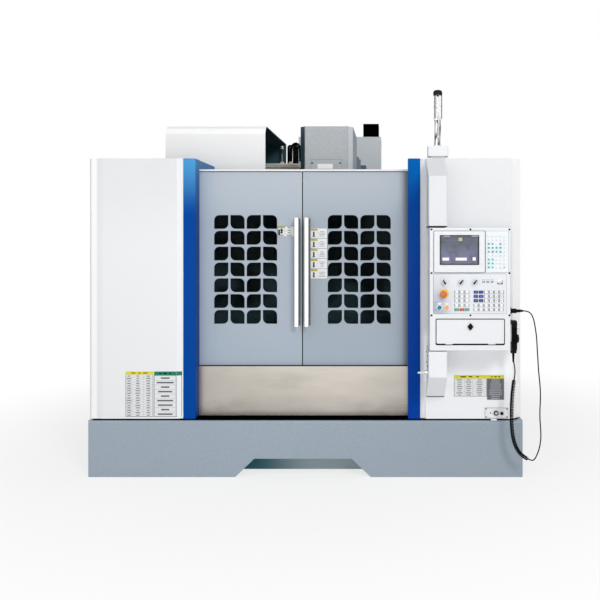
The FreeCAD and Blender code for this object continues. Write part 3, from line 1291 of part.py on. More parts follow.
fan = Piece("cabinet_fan")
fan_x0 = s.fan_x - s.fan_width / 2
fan_y0 = s.cabinet_front_y + 40
fan.pad("XY", s.cabinet_top_z, s.cabinet_top_z + s.fan_height,
        rounded(fan_x0, fan_y0, fan_x0 + s.fan_width, fan_y0 + s.fan_depth, 8))
fan_slot = fan.cut("XZ", fan_y0, fan_y0 + 8,
                   rect(fan_x0 + 14, s.cabinet_top_z + 16, fan_x0 + s.fan_width - 14,
                        s.cabinet_top_z + 26))
fan.row(fan_slot, "V_Axis", 18, 5)

# Control bracket: a folded duct above and below the control box, with swivel bosses.
bracket = Piece("control_bracket")
bracket_right = s.bracket_left_x + s.bracket_width
bracket_front = panel_y - s.bracket_reach
box_top_z = s.box_foot_z + s.box_height
upper_foot_z = box_top_z + s.swivel_gap
lower_top_z = s.box_foot_z - s.swivel_gap
bracket.pad("YZ", s.bracket_left_x, bracket_right, [
    (bracket_front, upper_foot_z), (panel_y, upper_foot_z), (panel_y, panel_top_z),
    (bracket_front, s.bracket_cap_z),
])
bracket.pad("YZ", s.bracket_left_x, bracket_right, [
    (bracket_front, s.bracket_foot_z), (panel_y, s.bracket_tail_z), (panel_y, lower_top_z),
    (bracket_front, lower_top_z),
])
bracket.fillet(s.bracket_radius, line_at(x=[s.bracket_left_x, bracket_right], y=bracket_front))
bracket.pad("XY", box_top_z + s.soft_gap, upper_foot_z,
            ring(s.swivel_x, s.swivel_y, s.boss_radius))
bracket.pad("XY", lower_top_z, s.box_foot_z - s.soft_gap,
            ring(s.swivel_x, s.swivel_y, s.boss_radius))

# Control box: a folded housing with a rounded corner at the swivel and the compartment
# behind the flap.
box_front = bracket_front
box_back = panel_y - s.swivel_gap
box_right = s.box_left_x + s.box_width
shell = Piece("control_box_shell")
shell.pad("XY", s.box_foot_z, box_top_z, [
    (s.box_left_x, box_front), (box_right, box_front), (box_right, box_back),
    (s.box_left_x + s.box_corner, box_back, s.box_corner),
    (s.box_left_x, box_back - s.box_corner),
])
shell.fillet(s.box_edge, line_at(x=[s.box_left_x, box_right], y=box_front))
margin = s.pocket_margin
flap_right = s.flap_left_x + s.flap_width
flap_top = s.flap_foot_z + s.flap_height
shell.cut("XZ", box_front, box_front + s.pocket_depth,
          rounded(s.flap_left_x + margin, s.flap_foot_z + margin,
                  flap_right - margin, flap_top - margin, 6))
holder_x = box_right + s.pendant_gap
half_pendant = s.pendant_width / 2
shell.pad("YZ", box_right, holder_x - s.soft_gap,
          rounded(s.pendant_y - half_pendant + 12, s.pendant_foot_z + 40,
                  s.pendant_y + half_pendant - 12, s.pendant_top_z - 20, 8))
bezel = Piece("display_bezel")
bezel_front = box_front - s.bezel_thick
bezel_right = s.bezel_left_x + s.bezel_width
bezel_top = s.bezel_foot_z + s.bezel_height
screen_right = s.screen_left_x + s.screen_width
screen_top = s.screen_foot_z + s.screen_height
bezel.pad("XZ", bezel_front, box_front,
          rounded(s.bezel_left_x, s.bezel_foot_z, bezel_right, bezel_top, s.bezel_radius))
bezel.cut("XZ", bezel_front, box_front - s.screen_thick,
          rounded(s.screen_left_x, s.screen_foot_z, screen_right, screen_top, 5))
keypad = Piece("mdi_keypad")
keypad_front = box_front - s.plate_thick
keypad.pad("XZ", keypad_front, box_front,
           rounded(bezel_right, s.bezel_foot_z, bezel_right + s.keypad_width, bezel_top, 4))
keys_width = s.key_pitch * (s.keypad_columns - 1) + s.key_size
keys_height = s.key_pitch * (s.keypad_rows - 1) + s.key_size
key_x = bezel_right + (s.keypad_width - keys_width) / 2
key_z = s.bezel_foot_z + (s.bezel_height - keys_height) / 2
one_key = keypad.pad("XZ", keypad_front - s.key_rise, keypad_front,
                     rect(key_x, key_z, key_x + s.key_size, key_z + s.key_size))
keypad.grid(one_key, s.key_pitch, s.keypad_columns, s.key_pitch, s.keypad_rows)
panel = Piece("operator_panel")
panel_front = box_front - s.plate_thick
panel.pad("XZ", panel_front, box_front,
          rounded(s.panel_left_x, s.panel_foot_z, s.panel_left_x + s.panel_width,
                  s.panel_foot_z + s.panel_height, 5))
key_front = panel_front - s.key_rise
collar_front = key_front - 3
for x, z, across, down, tall in (
    (s.left_keys_x, s.key_block_z, 3, 3, s.button_height),
    (s.right_keys_x, s.key_block_z, 6, 3, s.button_height),
    (s.left_keys_x, s.low_keys_z, 3, 2, s.low_key_height),
    (s.right_keys_x, s.low_keys_z, 6, 2, s.low_key_height),
):
    key = panel.pad("XZ", key_front, panel_front, rect(x, z, x + s.button_width, z + tall))
    panel.grid(key, s.button_pitch, across, s.button_rise, down)
for x, z, r in ((s.stop_x, s.stop_z, s.stop_collar), (s.start_x, s.button_z, s.push_collar),
                (s.hold_x, s.button_z, s.push_collar)):
    panel.pad("XZ", collar_front, panel_front, ring(x, z, r))
for x, z, r in ((s.stop_x, s.stop_z, s.stop_shank), (s.start_x, s.button_z, s.push_radius),
                (s.hold_x, s.button_z, s.push_radius)):
    panel.cut("XZ", collar_front, collar_front + s.stop_push + s.button_root + 1,
              ring(x, z, r + s.soft_gap))
for x in (s.mode_x, s.feed_x, s.speed_x):
    panel.pad("XZ", key_front, panel_front, ring(x, s.knob_z, s.knob_radius + 4))
panel.pad("XZ", key_front - 4, panel_front, ring(1125, s.knob_z + 4, 10))
for x in (1034, 1058, 1082):
    panel.pad("XZ", key_front, panel_front, rect(x - 8, s.knob_z - 8, x + 8, s.knob_z + 8))

# Buttons and knobs, each turned about its own axis. The buttons sit in bored collars.
stop = Piece("emergency_stop", at=(s.stop_x, collar_front, s.stop_z))
stop.turn("XY", [
    (0, s.button_root), (s.stop_shank, s.button_root), (s.stop_shank, -6),
    (s.stop_radius - 2, -9), (s.stop_radius, -12),
    (s.stop_radius, -17), (s.stop_radius - 5, -22), (0, -24),
])
for label, x in (("cycle_start", s.start_x), ("feed_hold", s.hold_x)):
    push = Piece(label, at=(x, collar_front, s.button_z))
    push.turn("XY", [
        (0, s.button_root), (s.push_radius, s.button_root), (s.push_radius, -5),
        (s.push_radius - 2, -7), (0, -7),
    ])
knob_front = key_front - s.soft_gap
for label, x in (("mode_knob", s.mode_x), ("feed_knob", s.feed_x), ("speed_knob", s.speed_x)):
    knob = Piece(label, at=(x, knob_front, s.knob_z))
    knob.turn("XY", [
        (0, 0), (s.knob_radius, 0), (s.knob_radius, -4), (s.knob_radius - 3, -6),
        (s.knob_radius - 4, -s.knob_height + 2), (s.knob_radius - 6, -s.knob_height),
        (0, -s.knob_height),
    ])
    knob.pad("XZ", -s.knob_height - 2, -s.knob_height,
             rect(-1.5, 0, 1.5, s.knob_radius - 6))

# Flap and its quarter-turn latch.
flap_back = box_front - s.soft_gap
flap_front = flap_back - s.flap_thick
flap = Piece("flap")
flap.pad("XZ", flap_front, flap_back,
         rounded(s.flap_left_x, s.flap_foot_z, flap_right, flap_top, 6))
hinge_y = flap_back - s.hinge_radius
for x in (s.flap_left_x + 50, flap_right - 90):
    flap.pad("YZ", x, x + 40, ring(hinge_y, s.flap_foot_z, s.hinge_radius))
latch_x = s.flap_left_x + s.flap_width / 2
latch = Piece("flap_latch", at=(latch_x, flap_front - s.soft_gap, s.latch_z))
latch.pad("XZ", -s.latch_thick, 0, [
    (-s.latch_size, 0), (0, -s.latch_size), (s.latch_size, 0), (0, s.latch_size),
])
latch.pad("XZ", -s.latch_thick - 3, -s.latch_thick, ring(0, 0, s.latch_core))
latch.cut("XZ", -s.latch_thick - 3, -s.latch_thick - 1,
          rect(-1, -s.latch_core - 1, 1, s.latch_core + 1))

# Pendant in its holder on the side of the box, with handwheel and two knobs.
pendant = Piece("pendant")
pendant_face = holder_x + s.pendant_thick
pendant.pad("YZ", holder_x, pendant_face, [
    (s.pendant_y - 12, s.pendant_foot_z - 30), (s.pendant_y + 12, s.pendant_foot_z - 30),
    (s.pendant_y + half_pendant, s.pendant_foot_z),
    (s.pendant_y + half_pendant, s.pendant_top_z - 12, 12),
    (s.pendant_y + half_pendant - 12, s.pendant_top_z),
    (s.pendant_y - half_pendant + 12, s.pendant_top_z, 12),
    (s.pendant_y - half_pendant, s.pendant_top_z - 12),
    (s.pendant_y - half_pendant, s.pendant_foot_z),
])
relief_x = holder_x + s.pendant_thick / 2
pendant.pad("XY", s.pendant_tail_z, s.pendant_foot_z - 30, ring(relief_x, s.pendant_y, 7))
dial_face = pendant_face + s.soft_gap
dial = Piece("pendant_handwheel", at=(dial_face, s.pendant_y, s.dial_z))
dial.turn("XY", [
    (0, 0), (0, s.dial_radius), (6, s.dial_radius), (9, s.dial_radius - 4),
    (s.dial_height, s.dial_radius - 7), (s.dial_height, 0),
], axis="H_Axis")
dial.pad("YZ", s.dial_height, s.dial_height + 6, ring(s.dial_radius - 14, 0, 5))
for label, side in (("pendant_axis_knob", -1), ("pendant_step_knob", 1)):
    small = Piece(label, at=(dial_face, s.pendant_y + s.small_knob_spread * side,
                             s.small_knob_z))
    small.turn("XY", [
        (0, 0), (0, s.small_knob_radius), (4, s.small_knob_radius),
        (s.small_knob_height, s.small_knob_radius - 3), (s.small_knob_height, 0),
    ], axis="H_Axis")

# Clamp lever of the swivel.
lever = Piece("clamp_lever", at=(s.bracket_left_x - s.soft_gap, s.lever_y, s.lever_z))
lever.turn("XY", [
    (0, 0), (0, s.lever_hub), (-12, s.lever_hub), (-s.lever_hub_height, s.lever_hub - 4),
    (-s.lever_hub_height, 0),
], axis="H_Axis")
lever.pad("XY", -s.lever_radius, s.lever_radius, [
    (-8, s.lever_radius), (-8, -s.lever_radius),
    (-s.lever_length, -s.lever_radius - 6), (-s.lever_length, s.lever_radius - 6),
])

# Stack light: foot and pole, and the clear lens with its cap.
light = Piece("stack_light_base")
light_foot_z = panel_top_z + s.light_lift
half = s.light_box_width / 2
half_depth = s.light_box_depth / 2
light.pad("XY", light_foot_z, light_foot_z + s.light_box_height,
          rounded(s.light_x - half, s.light_y - half_depth, s.light_x + half,
                  s.light_y + half_depth, 8))
light.pad("XY", panel_top_z, light_foot_z,
          rect(s.light_x - half + 20, s.light_y - 26, s.light_x + half - 20, s.light_y + 26))
light.pad("XY", light_foot_z + s.light_box_height, s.lens_foot_z,
          ring(s.light_x, s.light_y, s.pole_radius))
lens = Piece("stack_light_lens", at=(s.light_x, s.light_y, s.lens_foot_z))
lens_body = s.lens_height - s.cap_height
lens.turn("XZ", [
    (0, 0), (s.lens_radius - 2, 0), (s.lens_radius, 2), (s.lens_radius, lens_body),
    (s.lens_radius - 4, s.lens_height - 6), (s.lens_radius - 9, s.lens_height),
    (0, s.lens_height),
])

# Service plate with its sockets.
service = Piece("service_plate")
plate_right = half_base - s.plate_inset
plate_left = plate_right - s.plate_width
plate_mid_z = s.plate_foot_z + s.plate_height / 2
service.pad("XZ", panel_y - 2, panel_y,
            rounded(plate_left, s.plate_foot_z, plate_right,
                    s.plate_foot_z + s.plate_height, 3))
service.pad("XZ", panel_y - 10, panel_y - 2, ring(plate_left + s.socket_inset, plate_mid_z, 12))
service.cut("XZ", panel_y - 10, panel_y - 3, ring(plate_left + s.socket_inset, plate_mid_z, 8))
service.pad("XZ", panel_y - 18, panel_y - 2, ring(plate_right - s.valve_inset, plate_mid_z, 9))


def rounded_path(points, ratio=0.45):
    """Straight runs joined by tangent arcs; prints the arc radii."""
    edges = []
    start = points[0]
    radii = []
    for i in range(1, len(points) - 1):
        a, p, b = points[i - 1], points[i], points[i + 1]
        d0 = (p - a).normalize()
        d1 = (b - p).normalize()
        angle = d0.getAngle(d1)
        reach = ratio * min((p - a).Length, (b - p).Length)
        radii.append(reach / math.tan(angle / 2))
        t0 = p - d0 * reach
        t1 = p + d1 * reach
        centre_way = (d1 - d0).normalize()
        centre = p + centre_way * (radii[-1] / math.cos(angle / 2))
        middle = centre + (p - centre).normalize() * radii[-1]
        edges.append(Part.LineSegment(start, t0).toShape())
        edges.append(Part.Arc(t0, middle, t1).toShape())
        start = t1
    edges.append(Part.LineSegment(start, points[-1]).toShape())
    return Part.Wire(edges), radii


def tube(label, points, radius, sides=None):
    """A cord stretch: a tube along straight runs and tangent arcs."""
    wire, radii = rounded_path([V(*p) for p in points])
    first = wire.Edges[0]
    direction = first.tangentAt(first.FirstParameter)
    profile = Part.Wire(Part.makeCircle(radius, first.Vertexes[0].Point, direction))
    solid = wire.makePipeShell([profile], True, False)
    ideal = math.pi * radius ** 2 * wire.Length
    print(label, "length %.1f, volume / ideal %.4f, radii" % (wire.Length, solid.Volume / ideal),
          " ".join("%.0f" % r for r in radii))
    thing = doc.addObject("Part::Feature", label)
    thing.Label = label
    thing.Shape = solid
    thing.Placement = FreeCAD.Placement(V(0, 0, 0), FreeCAD.Rotation())
    nodes.append(thing)
    return wire


def follow(route):
    """A function that gives the place and the heading at a distance along a wire."""
    stops = [0.0]
    for edge in route.Edges:
        stops.append(stops[-1] + edge.Length)

    def on_route(distance):
        distance = min(max(distance, 0.0), stops[-1])
        k = 0
        while k < len(route.Edges) - 1 and stops[k + 1] < distance:
            k += 1
        edge = route.Edges[k]
        at = edge.getParameterByLength(min(distance - stops[k], edge.Length * 0.999999))
        return edge.valueAt(at), edge.tangentAt(at)

    return on_route, stops[-1]


def ribbed_hose(label, points, crest, root, bore, pitch):
    """A corrugated hose in the XZ plane: ribs between plain ends, bored right through."""
    route, radii = rounded_path([V(*p) for p in points])
    on_route, length = follow(route)
    plain = 2 * crest
    count = int((length - 2 * plain) / pitch)
    step = (length - 2 * plain) / count

    def hoop(distance, radius):
        centre, along = on_route(distance)
        edge = Part.makeCircle(radius)
        edge.Placement = FreeCAD.Placement(
            centre, FreeCAD.Rotation(V(0, 1, 0), V(0, 0, 0), along, "ZXY"))
        return Part.Wire([edge])

    hoops = [hoop(0, root)]
    for i in range(count):
        foot = plain + step * i
        for share, radius in ((0.0, root), (0.2, crest), (0.55, crest), (0.75, root)):
            hoops.append(hoop(foot + step * share, radius))
    hoops.append(hoop(length, root))
    outside = Part.makeLoft(hoops, True, True)
    first = on_route(0)
    core = route.makePipeShell([Part.Wire(Part.makeCircle(bore, first[0], first[1]))], True, False)
    solid = outside.cut(core).Solids[0]
    print(label, "length %.1f, %d ribs, radii" % (length, count),
          " ".join("%.0f" % r for r in radii), "volume %.0f" % solid.Volume,
          "valid", solid.isValid())
    thing = doc.addObject("Part::Feature", label)
    thing.Label = label
    thing.Shape = solid
    thing.Placement = FreeCAD.Placement(V(0, 0, 0), FreeCAD.Rotation())
    nodes.append(thing)


# Conduit: a corrugated arch from the beam to its second gland.
beam_mid_y = (s.beam_front_y + 30).value
arch_foot = (s.beam_top_z + 16).value
left_x, right_x = s.conduit_left_x.value, s.conduit_right_x.value
arch_top = (s.conduit_top_z - s.conduit_radius).value
ribbed_hose("conduit", [
    (left_x, beam_mid_y, arch_foot), (left_x, beam_mid_y, arch_foot + 50),
    (left_x + 2, beam_mid_y, arch_top - 26), ((left_x + right_x) / 2, beam_mid_y, arch_top + 6),
    (right_x - 2, beam_mid_y, arch_top - 26), (right_x, beam_mid_y, arch_foot + 50),
    (right_x, beam_mid_y, arch_foot),
], s.conduit_radius.value, s.conduit_root.value, s.conduit_bore.value, s.conduit_pitch.value)

# Pendant cord: plug on the side of the box, a thin run down, a curly coil that turns
# up again, and a thin run to the pendant.
plug = Piece("cord_plug", at=(box_right, s.plug_y, s.plug_z))
plug.turn("XY", [
    (0, 0), (0, s.plug_radius + 4), (8, s.plug_radius + 4), (8, s.plug_radius),
    (52, s.plug_radius), (56, s.plug_radius - 4), (s.plug_length, 6), (s.plug_length, 0),
], axis="H_Axis")
cy = s.plug_y.value
plug_end = (box_right + s.plug_length).value
coil_low = [
    (1317.0, 139.5), (1293.0, 149.5), (1265.0, 172.0), (1242.0, 204.0), (1227.0, 245.0),
    (1218.0, 292.0), (1214.0, 345.0), (1213.0, 402.0), (1214.0, 460.0), (1217.0, 515.0),
    (1223.0, 572.0), (1229.0, 612.0),
]
tube("cord_outer_run", [
    (plug_end, cy, s.plug_z.value), (plug_end + 25, cy, s.plug_z.value),
    (1330, cy, 985.5), (1344, cy, 947), (1352, cy, 900), (1359, cy, 850),
    (1362, cy, 790), (1366, cy, 730), (1369, cy, 665), (1376, cy, 600), (1381, cy, 540),
    (1381, cy, 480), (1377.5, cy, 425), (1378, cy, 370), (1383, cy, 315), (1384, cy, 262),
    (1377, cy, 212), (1362, cy, 167), (1341, cy, 129.5), (coil_low[0][0], cy, coil_low[0][1]),
], s.cord_radius.value)
tube("cord_inner_run", [
    (coil_low[-1][0], cy, coil_low[-1][1]), (1234.1, cy, 646), (1229, cy - 5, 686),
    (relief_x.value, s.pendant_y.value, 722),
    (relief_x.value, s.pendant_y.value, s.pendant_tail_z.value),
], s.cord_radius.value)


def arc_from(p, tangent, q):
    """The arc that leaves p along the tangent and ends at q."""
    chord = q - p
    length = chord.Length
    along = chord / length
    side = tangent - along * tangent.dot(along)
    if side.Length < 1e-6:
        return Part.LineSegment(p, q).toShape()
    angle = tangent.getAngle(chord)
    middle = p + chord / 2 + side.normalize() * (length / 2 * math.tan(angle / 2))
    return Part.Arc(p, middle, q).toShape()


def biarc(p, tp, q, tq):
    """Two tangent arcs from p to q with the given end tangents."""
    v = q - p
    sum_t = tp + tq
    a = 2 * (1 - tp.dot(tq))
    b = 2 * v.dot(sum_t)
    c = -v.dot(v)
    d = -c / b if a < 1e-9 else (-b + math.sqrt(b * b - 4 * a * c)) / (2 * a)
    joint = (p + tp * d + q - tq * d) / 2
    middle = (q - tq * d - p - tp * d).normalize()
    return [arc_from(p, tp, joint), arc_from(joint, middle, q)]


def curls(label, points, curl_radius, radius, count):
    """A curly cord: one tube wound along the rounded route, straight at both ends."""
    route, radii = rounded_path([V(*p) for p in points])
    on_route, whole = follow(route)
    straight = 2 * radius
    wound = whole - 2 * straight

    def on_curl(turn):
        centre, along = on_route(straight + wound * turn / count)
        across = along.cross(V(0, 1, 0)).normalize()
        up = across.cross(along).normalize()
        grow = min(1.0, turn, count - turn)
        grow = grow * grow * (3 - 2 * grow)
        angle = 2 * math.pi * turn
        return centre + (across * math.cos(angle) + up * math.sin(angle)) * (curl_radius * grow)

    def heading(turn):
        step = 0.001
        low, high = max(turn - step, 0), min(turn + step, count)
        return (on_curl(high) - on_curl(low)).normalize()

    turns = [0.0, 0.25, 0.5, 0.75, 1.0]
    turns += [1.0 + 0.5 * k for k in range(1, int(2 * (count - 2)) + 1)]
    turns += [count - 0.75, count - 0.5, count - 0.25, float(count)]
    start, first_way = on_route(0)
    end, last_way = on_route(whole)
    places = [on_curl(t) for t in turns]
    ways = [heading(t) for t in turns]
    ways[0] = first_way
    ways[-1] = last_way
    edges = [Part.LineSegment(start, places[0]).toShape()]
    for k in range(len(turns) - 1):
        edges += biarc(places[k], ways[k], places[k + 1], ways[k + 1])
    edges.append(Part.LineSegment(places[-1], end).toShape())
    wire = Part.Wire(edges)
    side = first_way.cross(V(0, 1, 0)).normalize()
    up = side.cross(first_way)
    corners = [start + (side * math.cos(math.pi * k / 3) + up * math.sin(math.pi * k / 3)) * radius
               for k in range(6)]
    profile = Part.makePolygon(corners + [corners[0]])
    solid = wire.makePipeShell([profile], True, False)
    ideal = 1.5 * math.sqrt(3) * radius ** 2 * wire.Length
    samples = []
    run = 0.0
    for edge in edges:
        samples += [(run + edge.Length * i / 8, edge.valueAt(edge.getParameterByLength(
            edge.Length * i / 8))) for i in range(8)]
        run += edge.Length
    half_curl = math.pi * curl_radius
    least = min(a.distanceToPoint(b)
                for i, (place, a) in enumerate(samples)
                for later, b in samples[i + 8:i + 90] if later - place > half_curl)
    print(label, "cord length %.0f, volume / ideal %.4f, least gap to itself %.2f" %
          (wire.Length, solid.Volume / ideal, least - 2 * radius), "valid", solid.isValid())
    thing = doc.addObject("Part::Feature", label)
    thing.Label = label
    thing.Shape = solid
    thing.Placement = FreeCAD.Placement(V(0, 0, 0), FreeCAD.Rotation())
    nodes.append(thing)


curls("cord_coil", [(x, cy, z) for x, z in coil_low], s.coil_radius.value,
      s.cord_radius.value, int(s.curl_count.value))

doc.recompute()

for thing in doc.Objects:
    if "Invalid" in thing.State or "Error" in thing.State:
        raise RuntimeError("%s failed: %s" % (thing.Name, thing.State))
for feature in cuts:
    if feature.Shape.Volume >= feature.BaseFeature.Shape.Volume - 0.01:
        raise RuntimeError(feature.Name + " cuts nothing")
for node in nodes:
    if node.Shape.isNull() or not node.Shape.isValid():
        raise RuntimeError(node.Label + " is null or not valid")

os.makedirs("parts", exist_ok=True)
for node in nodes:
    node.Shape.exportStep("parts/%s.step" % node.Label)
print(len(nodes), "pieces written")
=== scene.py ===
import math

import bmesh
import bpy
from mathutils import Matrix, Vector


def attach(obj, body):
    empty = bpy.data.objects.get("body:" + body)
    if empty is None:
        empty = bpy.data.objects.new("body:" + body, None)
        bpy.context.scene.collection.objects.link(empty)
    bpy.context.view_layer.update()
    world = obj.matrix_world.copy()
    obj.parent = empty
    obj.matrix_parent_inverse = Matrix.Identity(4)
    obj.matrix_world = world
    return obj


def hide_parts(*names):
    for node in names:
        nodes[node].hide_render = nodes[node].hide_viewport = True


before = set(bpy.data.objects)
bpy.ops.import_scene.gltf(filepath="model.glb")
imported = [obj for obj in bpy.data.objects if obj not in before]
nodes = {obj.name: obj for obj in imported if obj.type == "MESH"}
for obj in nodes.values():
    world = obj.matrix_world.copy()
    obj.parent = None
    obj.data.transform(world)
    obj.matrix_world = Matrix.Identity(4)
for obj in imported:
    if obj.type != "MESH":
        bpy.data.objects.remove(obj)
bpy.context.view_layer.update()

# The machine stands on the floor, X to the right, Y to the back, Z up, in metres.
scene = bpy.context.scene


def put(name, data):
    """Puts data in the scene as an object of that name."""
    thing = bpy.data.objects.new(name, data)
    scene.collection.objects.link(thing)
    return thing


# ---------------------------------------------------------------- camera
camera_data = bpy.data.cameras.new("camera")
camera_data.sensor_width = 36
camera_data.lens = 42.2
camera_data.shift_x, camera_data.shift_y = -0.1528, -0.1
camera_data.clip_end = 60
scene.camera = put("camera", camera_data)
scene.camera.location = (0.516, -5.195, 1.416)
scene.camera.rotation_euler = (math.radians(90), 0, 0)
scene.view_settings.view_transform = "Standard"


# ---------------------------------------------------------------- finishes
def shade_of(colour, share):
    return tuple(min(1.0, c * share) for c in colour)


class Tree:
    """A node tree and short ways to fill it."""

    def __init__(self, tree):
        self.tree = tree

    def feed(self, value, socket):
        if isinstance(value, bpy.types.NodeSocket):
            self.tree.links.new(value, socket)
        else:
            socket.default_value = value

    def add(self, kind, feeds=(), **settings):
        """A new node; its feeds are outputs of other nodes or plain values."""
        node = self.tree.nodes.new(kind)
        for name, value in settings.items():
            setattr(node, name, value)
        for name, value in dict(feeds).items():
            self.feed(value, node.inputs[name])
        return node

    def math(self, kind, a, b=0.0, clamp=False):
        return self.add("ShaderNodeMath", {0: a, 1: b}, operation=kind,
                        use_clamp=clamp).outputs[0]

    def span(self, value, low, high, to_low=0.0, to_high=1.0):
        """Eases from one number to another while the value goes from low to high."""
        return self.add("ShaderNodeMapRange", {
            "From Min": low, "From Max": high, "To Min": to_low, "To Max": to_high,
            "Value": value}, interpolation_type="SMOOTHSTEP").outputs[0]


class Finish(Tree):
    """One surface finish: a Principled shader with the nodes that feed it."""

    def __init__(self, name, colour, rough, metal=0.0, shine=0.5, coat=0.0):
        self.material = bpy.data.materials.new(name)
        self.material.use_nodes = True
        super().__init__(self.material.node_tree)
        self.shader = self.tree.nodes["Principled BSDF"].inputs
        self.place = self.add("ShaderNodeTexCoord").outputs["Object"]
        self.base = colour
        self.colour = (*colour, 1)
        self.rough = rough
        self.metal = metal
        self.height = None
        self.feed(shine, self.shader["Specular IOR Level"])
        self.feed(coat, self.shader["Coat Weight"])
        self.feed(0.15, self.shader["Coat Roughness"])

    def stretch(self, scale, turn=(0, 0, 0)):
        return self.add("ShaderNodeMapping", {
            "Scale": scale, "Rotation": turn, "Vector": self.place}).outputs[0]

    def grain(self, scale, detail=3.0, vector=None, rough=0.5):
        return self.add("ShaderNodeTexNoise", {
            "Scale": scale, "Detail": detail, "Roughness": rough,
            "Vector": self.place if vector is None else vector}).outputs["Fac"]

    def streaks(self, along, long, fine, detail, rough):
        """Fine marks that run along one axis."""
        scale = tuple(long if axis == along else fine for axis in "XYZ")
        return self.grain(1, detail, self.stretch(scale), rough)

    def axis(self, name):
        return self.add("ShaderNodeSeparateXYZ", {0: self.place}).outputs[name]

    def aside(self, name, middle):
        """How far a place is from a middle on one axis."""
        return self.math("ABSOLUTE", self.math("SUBTRACT", self.axis(name), middle))

    def tint(self, share, shade):
        """Lays a colour, or a shade of the base colour, over what is there."""
        colour = shade if isinstance(shade, tuple) else shade_of(self.base, shade)
        self.colour = self.add("ShaderNodeMix", {0: share, 6: self.colour, 7: (*colour, 1)},
                               data_type="RGBA").outputs[2]

    def cloud(self, scale, detail, low, high, strength, shade):
        self.tint(self.span(self.grain(scale, detail), low, high, 0, strength), shade)

    def roughen(self, share, amount):
        """Adds half of amount where share is 1, and takes as much away where it is 0."""
        change = self.math("MULTIPLY", self.math("SUBTRACT", share, 0.5), amount)
        self.rough = self.math("ADD", change, self.rough, clamp=True)

    def raise_by(self, share, depth):
        lift = self.math("MULTIPLY", share, depth)
        self.height = lift if self.height is None else self.math("ADD", self.height, lift)

    def done(self):
        self.feed(self.colour, self.shader["Base Color"])
        self.feed(self.rough, self.shader["Roughness"])
        self.feed(self.metal, self.shader["Metallic"])
        if self.height is not None:
            bump = self.add("ShaderNodeBump", {"Height": self.height, "Distance": 1})
            self.feed(bump.outputs[0], self.shader["Normal"])
        return self.material


def sprayed_paint(name, colour, rough, peel=0.00004, dust=0.0, shine=0.35, speckle=0.0,
                  bands=()):
    """Sprayed sheet metal: faint clouding, orange peel, and dust low down.

    A band is a colour after the ramps that bound it: an axis, where the ramp starts and where
    it is full, and its strength where that isn't 1."""
    f = Finish(name, colour, rough, shine=shine)
    f.cloud(1.6, 2, 0.3, 0.75, 0.5, 0.95)
    f.cloud(38, 4, 0.45, 0.8, 0.25, 1.04)
    if speckle:
        f.tint(f.span(f.grain(170, 2), 0.36, 0.62, speckle, 0), 0.62)
        f.cloud(230, 2, 0.42, 0.66, speckle, 1.5)
    for *ramps, shade in bands:
        share = None
        for axis, start, full, *strength in ramps:
            part = f.span(f.axis(axis), start, full, 0, *strength)
            share = part if share is None else f.math("MULTIPLY", share, part)
        f.tint(share, shade)
    if dust:
        low = f.span(f.axis("Z"), 0.02, 0.34, dust, 0)
        patchy = f.math("MULTIPLY", low, f.span(f.grain(9, 5), 0.3, 0.7))
        f.tint(patchy, (0.36, 0.37, 0.37))
        f.roughen(patchy, 0.2)
    f.roughen(f.grain(26), 0.12)
    f.raise_by(f.grain(420, 2), peel)
    f.raise_by(f.grain(14, 2), peel * 3)
    return f.done()


def brushed_metal(name, colour, rough, along="X", scratch=0.00003, metal=1.0, wiped=None):
    """Brushed metal: fine streaks along one axis, with cloudy wear.

    A wiped sheet has a dark and a light shade for its smears, and the height of its foot."""
    f = Finish(name, colour, rough, metal=metal)
    if wiped:
        dark, light, foot = wiped
        smears = f.grain(1, 4, f.stretch((1.3, 3, 5.5)), 0.6)
        f.tint(f.span(smears, 0.36, 0.62, 0.75, 0), dark)
        f.tint(f.span(smears, 0.52, 0.74, 0, 0.8), light)
        low = f.span(f.axis("Z"), foot + 0.14, foot + 0.03, 0, 0.9)
        sides = f.span(f.math("ABSOLUTE", f.axis("X")), 0.12, 0.55)
        patch = f.span(f.grain(1, 3, f.stretch((4, 1, 9))), 0.3, 0.6)
        f.tint(f.span(f.axis("X"), 0.05, 0.6, 0, 0.6), 0.78)
        f.tint(f.math("MULTIPLY", f.math("MULTIPLY", low, sides), patch), 0.45)
    streaks = f.streaks(along, 6, 900, 4, 0.6)
    f.tint(f.span(streaks, 0.3, 0.7, 0, 0.6), 0.86)
    f.cloud(3, 3, 0.35, 0.75, 0.4, 1.08)
    f.roughen(streaks, 0.16)
    f.roughen(f.grain(7, 4), 0.12)
    f.raise_by(streaks, scratch)
    return f.done()


def cast_paint(name, colour, rough):
    """Painted casting: sand texture under the paint and oily patches."""
    f = Finish(name, colour, rough, shine=0.3)
    f.cloud(5, 5, 0.35, 0.7, 0.6, 0.82)
    f.cloud(60, 3, 0.55, 0.8, 0.4, 1.15)
    f.roughen(f.grain(11, 4), 0.3)
    f.raise_by(f.grain(160, 5), 0.00035)
    return f.done()


def ground_metal(name, colour, rough, along="X"):
    """Ground or turned steel: tight marks and a little oil staining."""
    f = Finish(name, colour, rough, metal=0.9)
    marks = f.streaks(along, 4, 1400, 3, 0.55)
    f.tint(f.span(marks, 0.3, 0.7, 0, 0.5), 0.78)
    f.cloud(16, 5, 0.5, 0.75, 0.45, 0.62)
    f.roughen(marks, 0.2)
    f.roughen(f.grain(9), 0.2)
    f.raise_by(marks, 0.00002)
    return f.done()


def moulded_plastic(name, colour, rough, grit=0.00005, coat=0.0, shine=0.3):
    """Moulded plastic: spark-eroded texture and soft gloss changes."""
    f = Finish(name, colour, rough, coat=coat, shine=shine)
    f.cloud(45, 3, 0.35, 0.75, 0.4, 0.92)
    f.roughen(f.grain(30, 4), 0.14)
    f.raise_by(f.grain(1900), grit)
    return f.done()


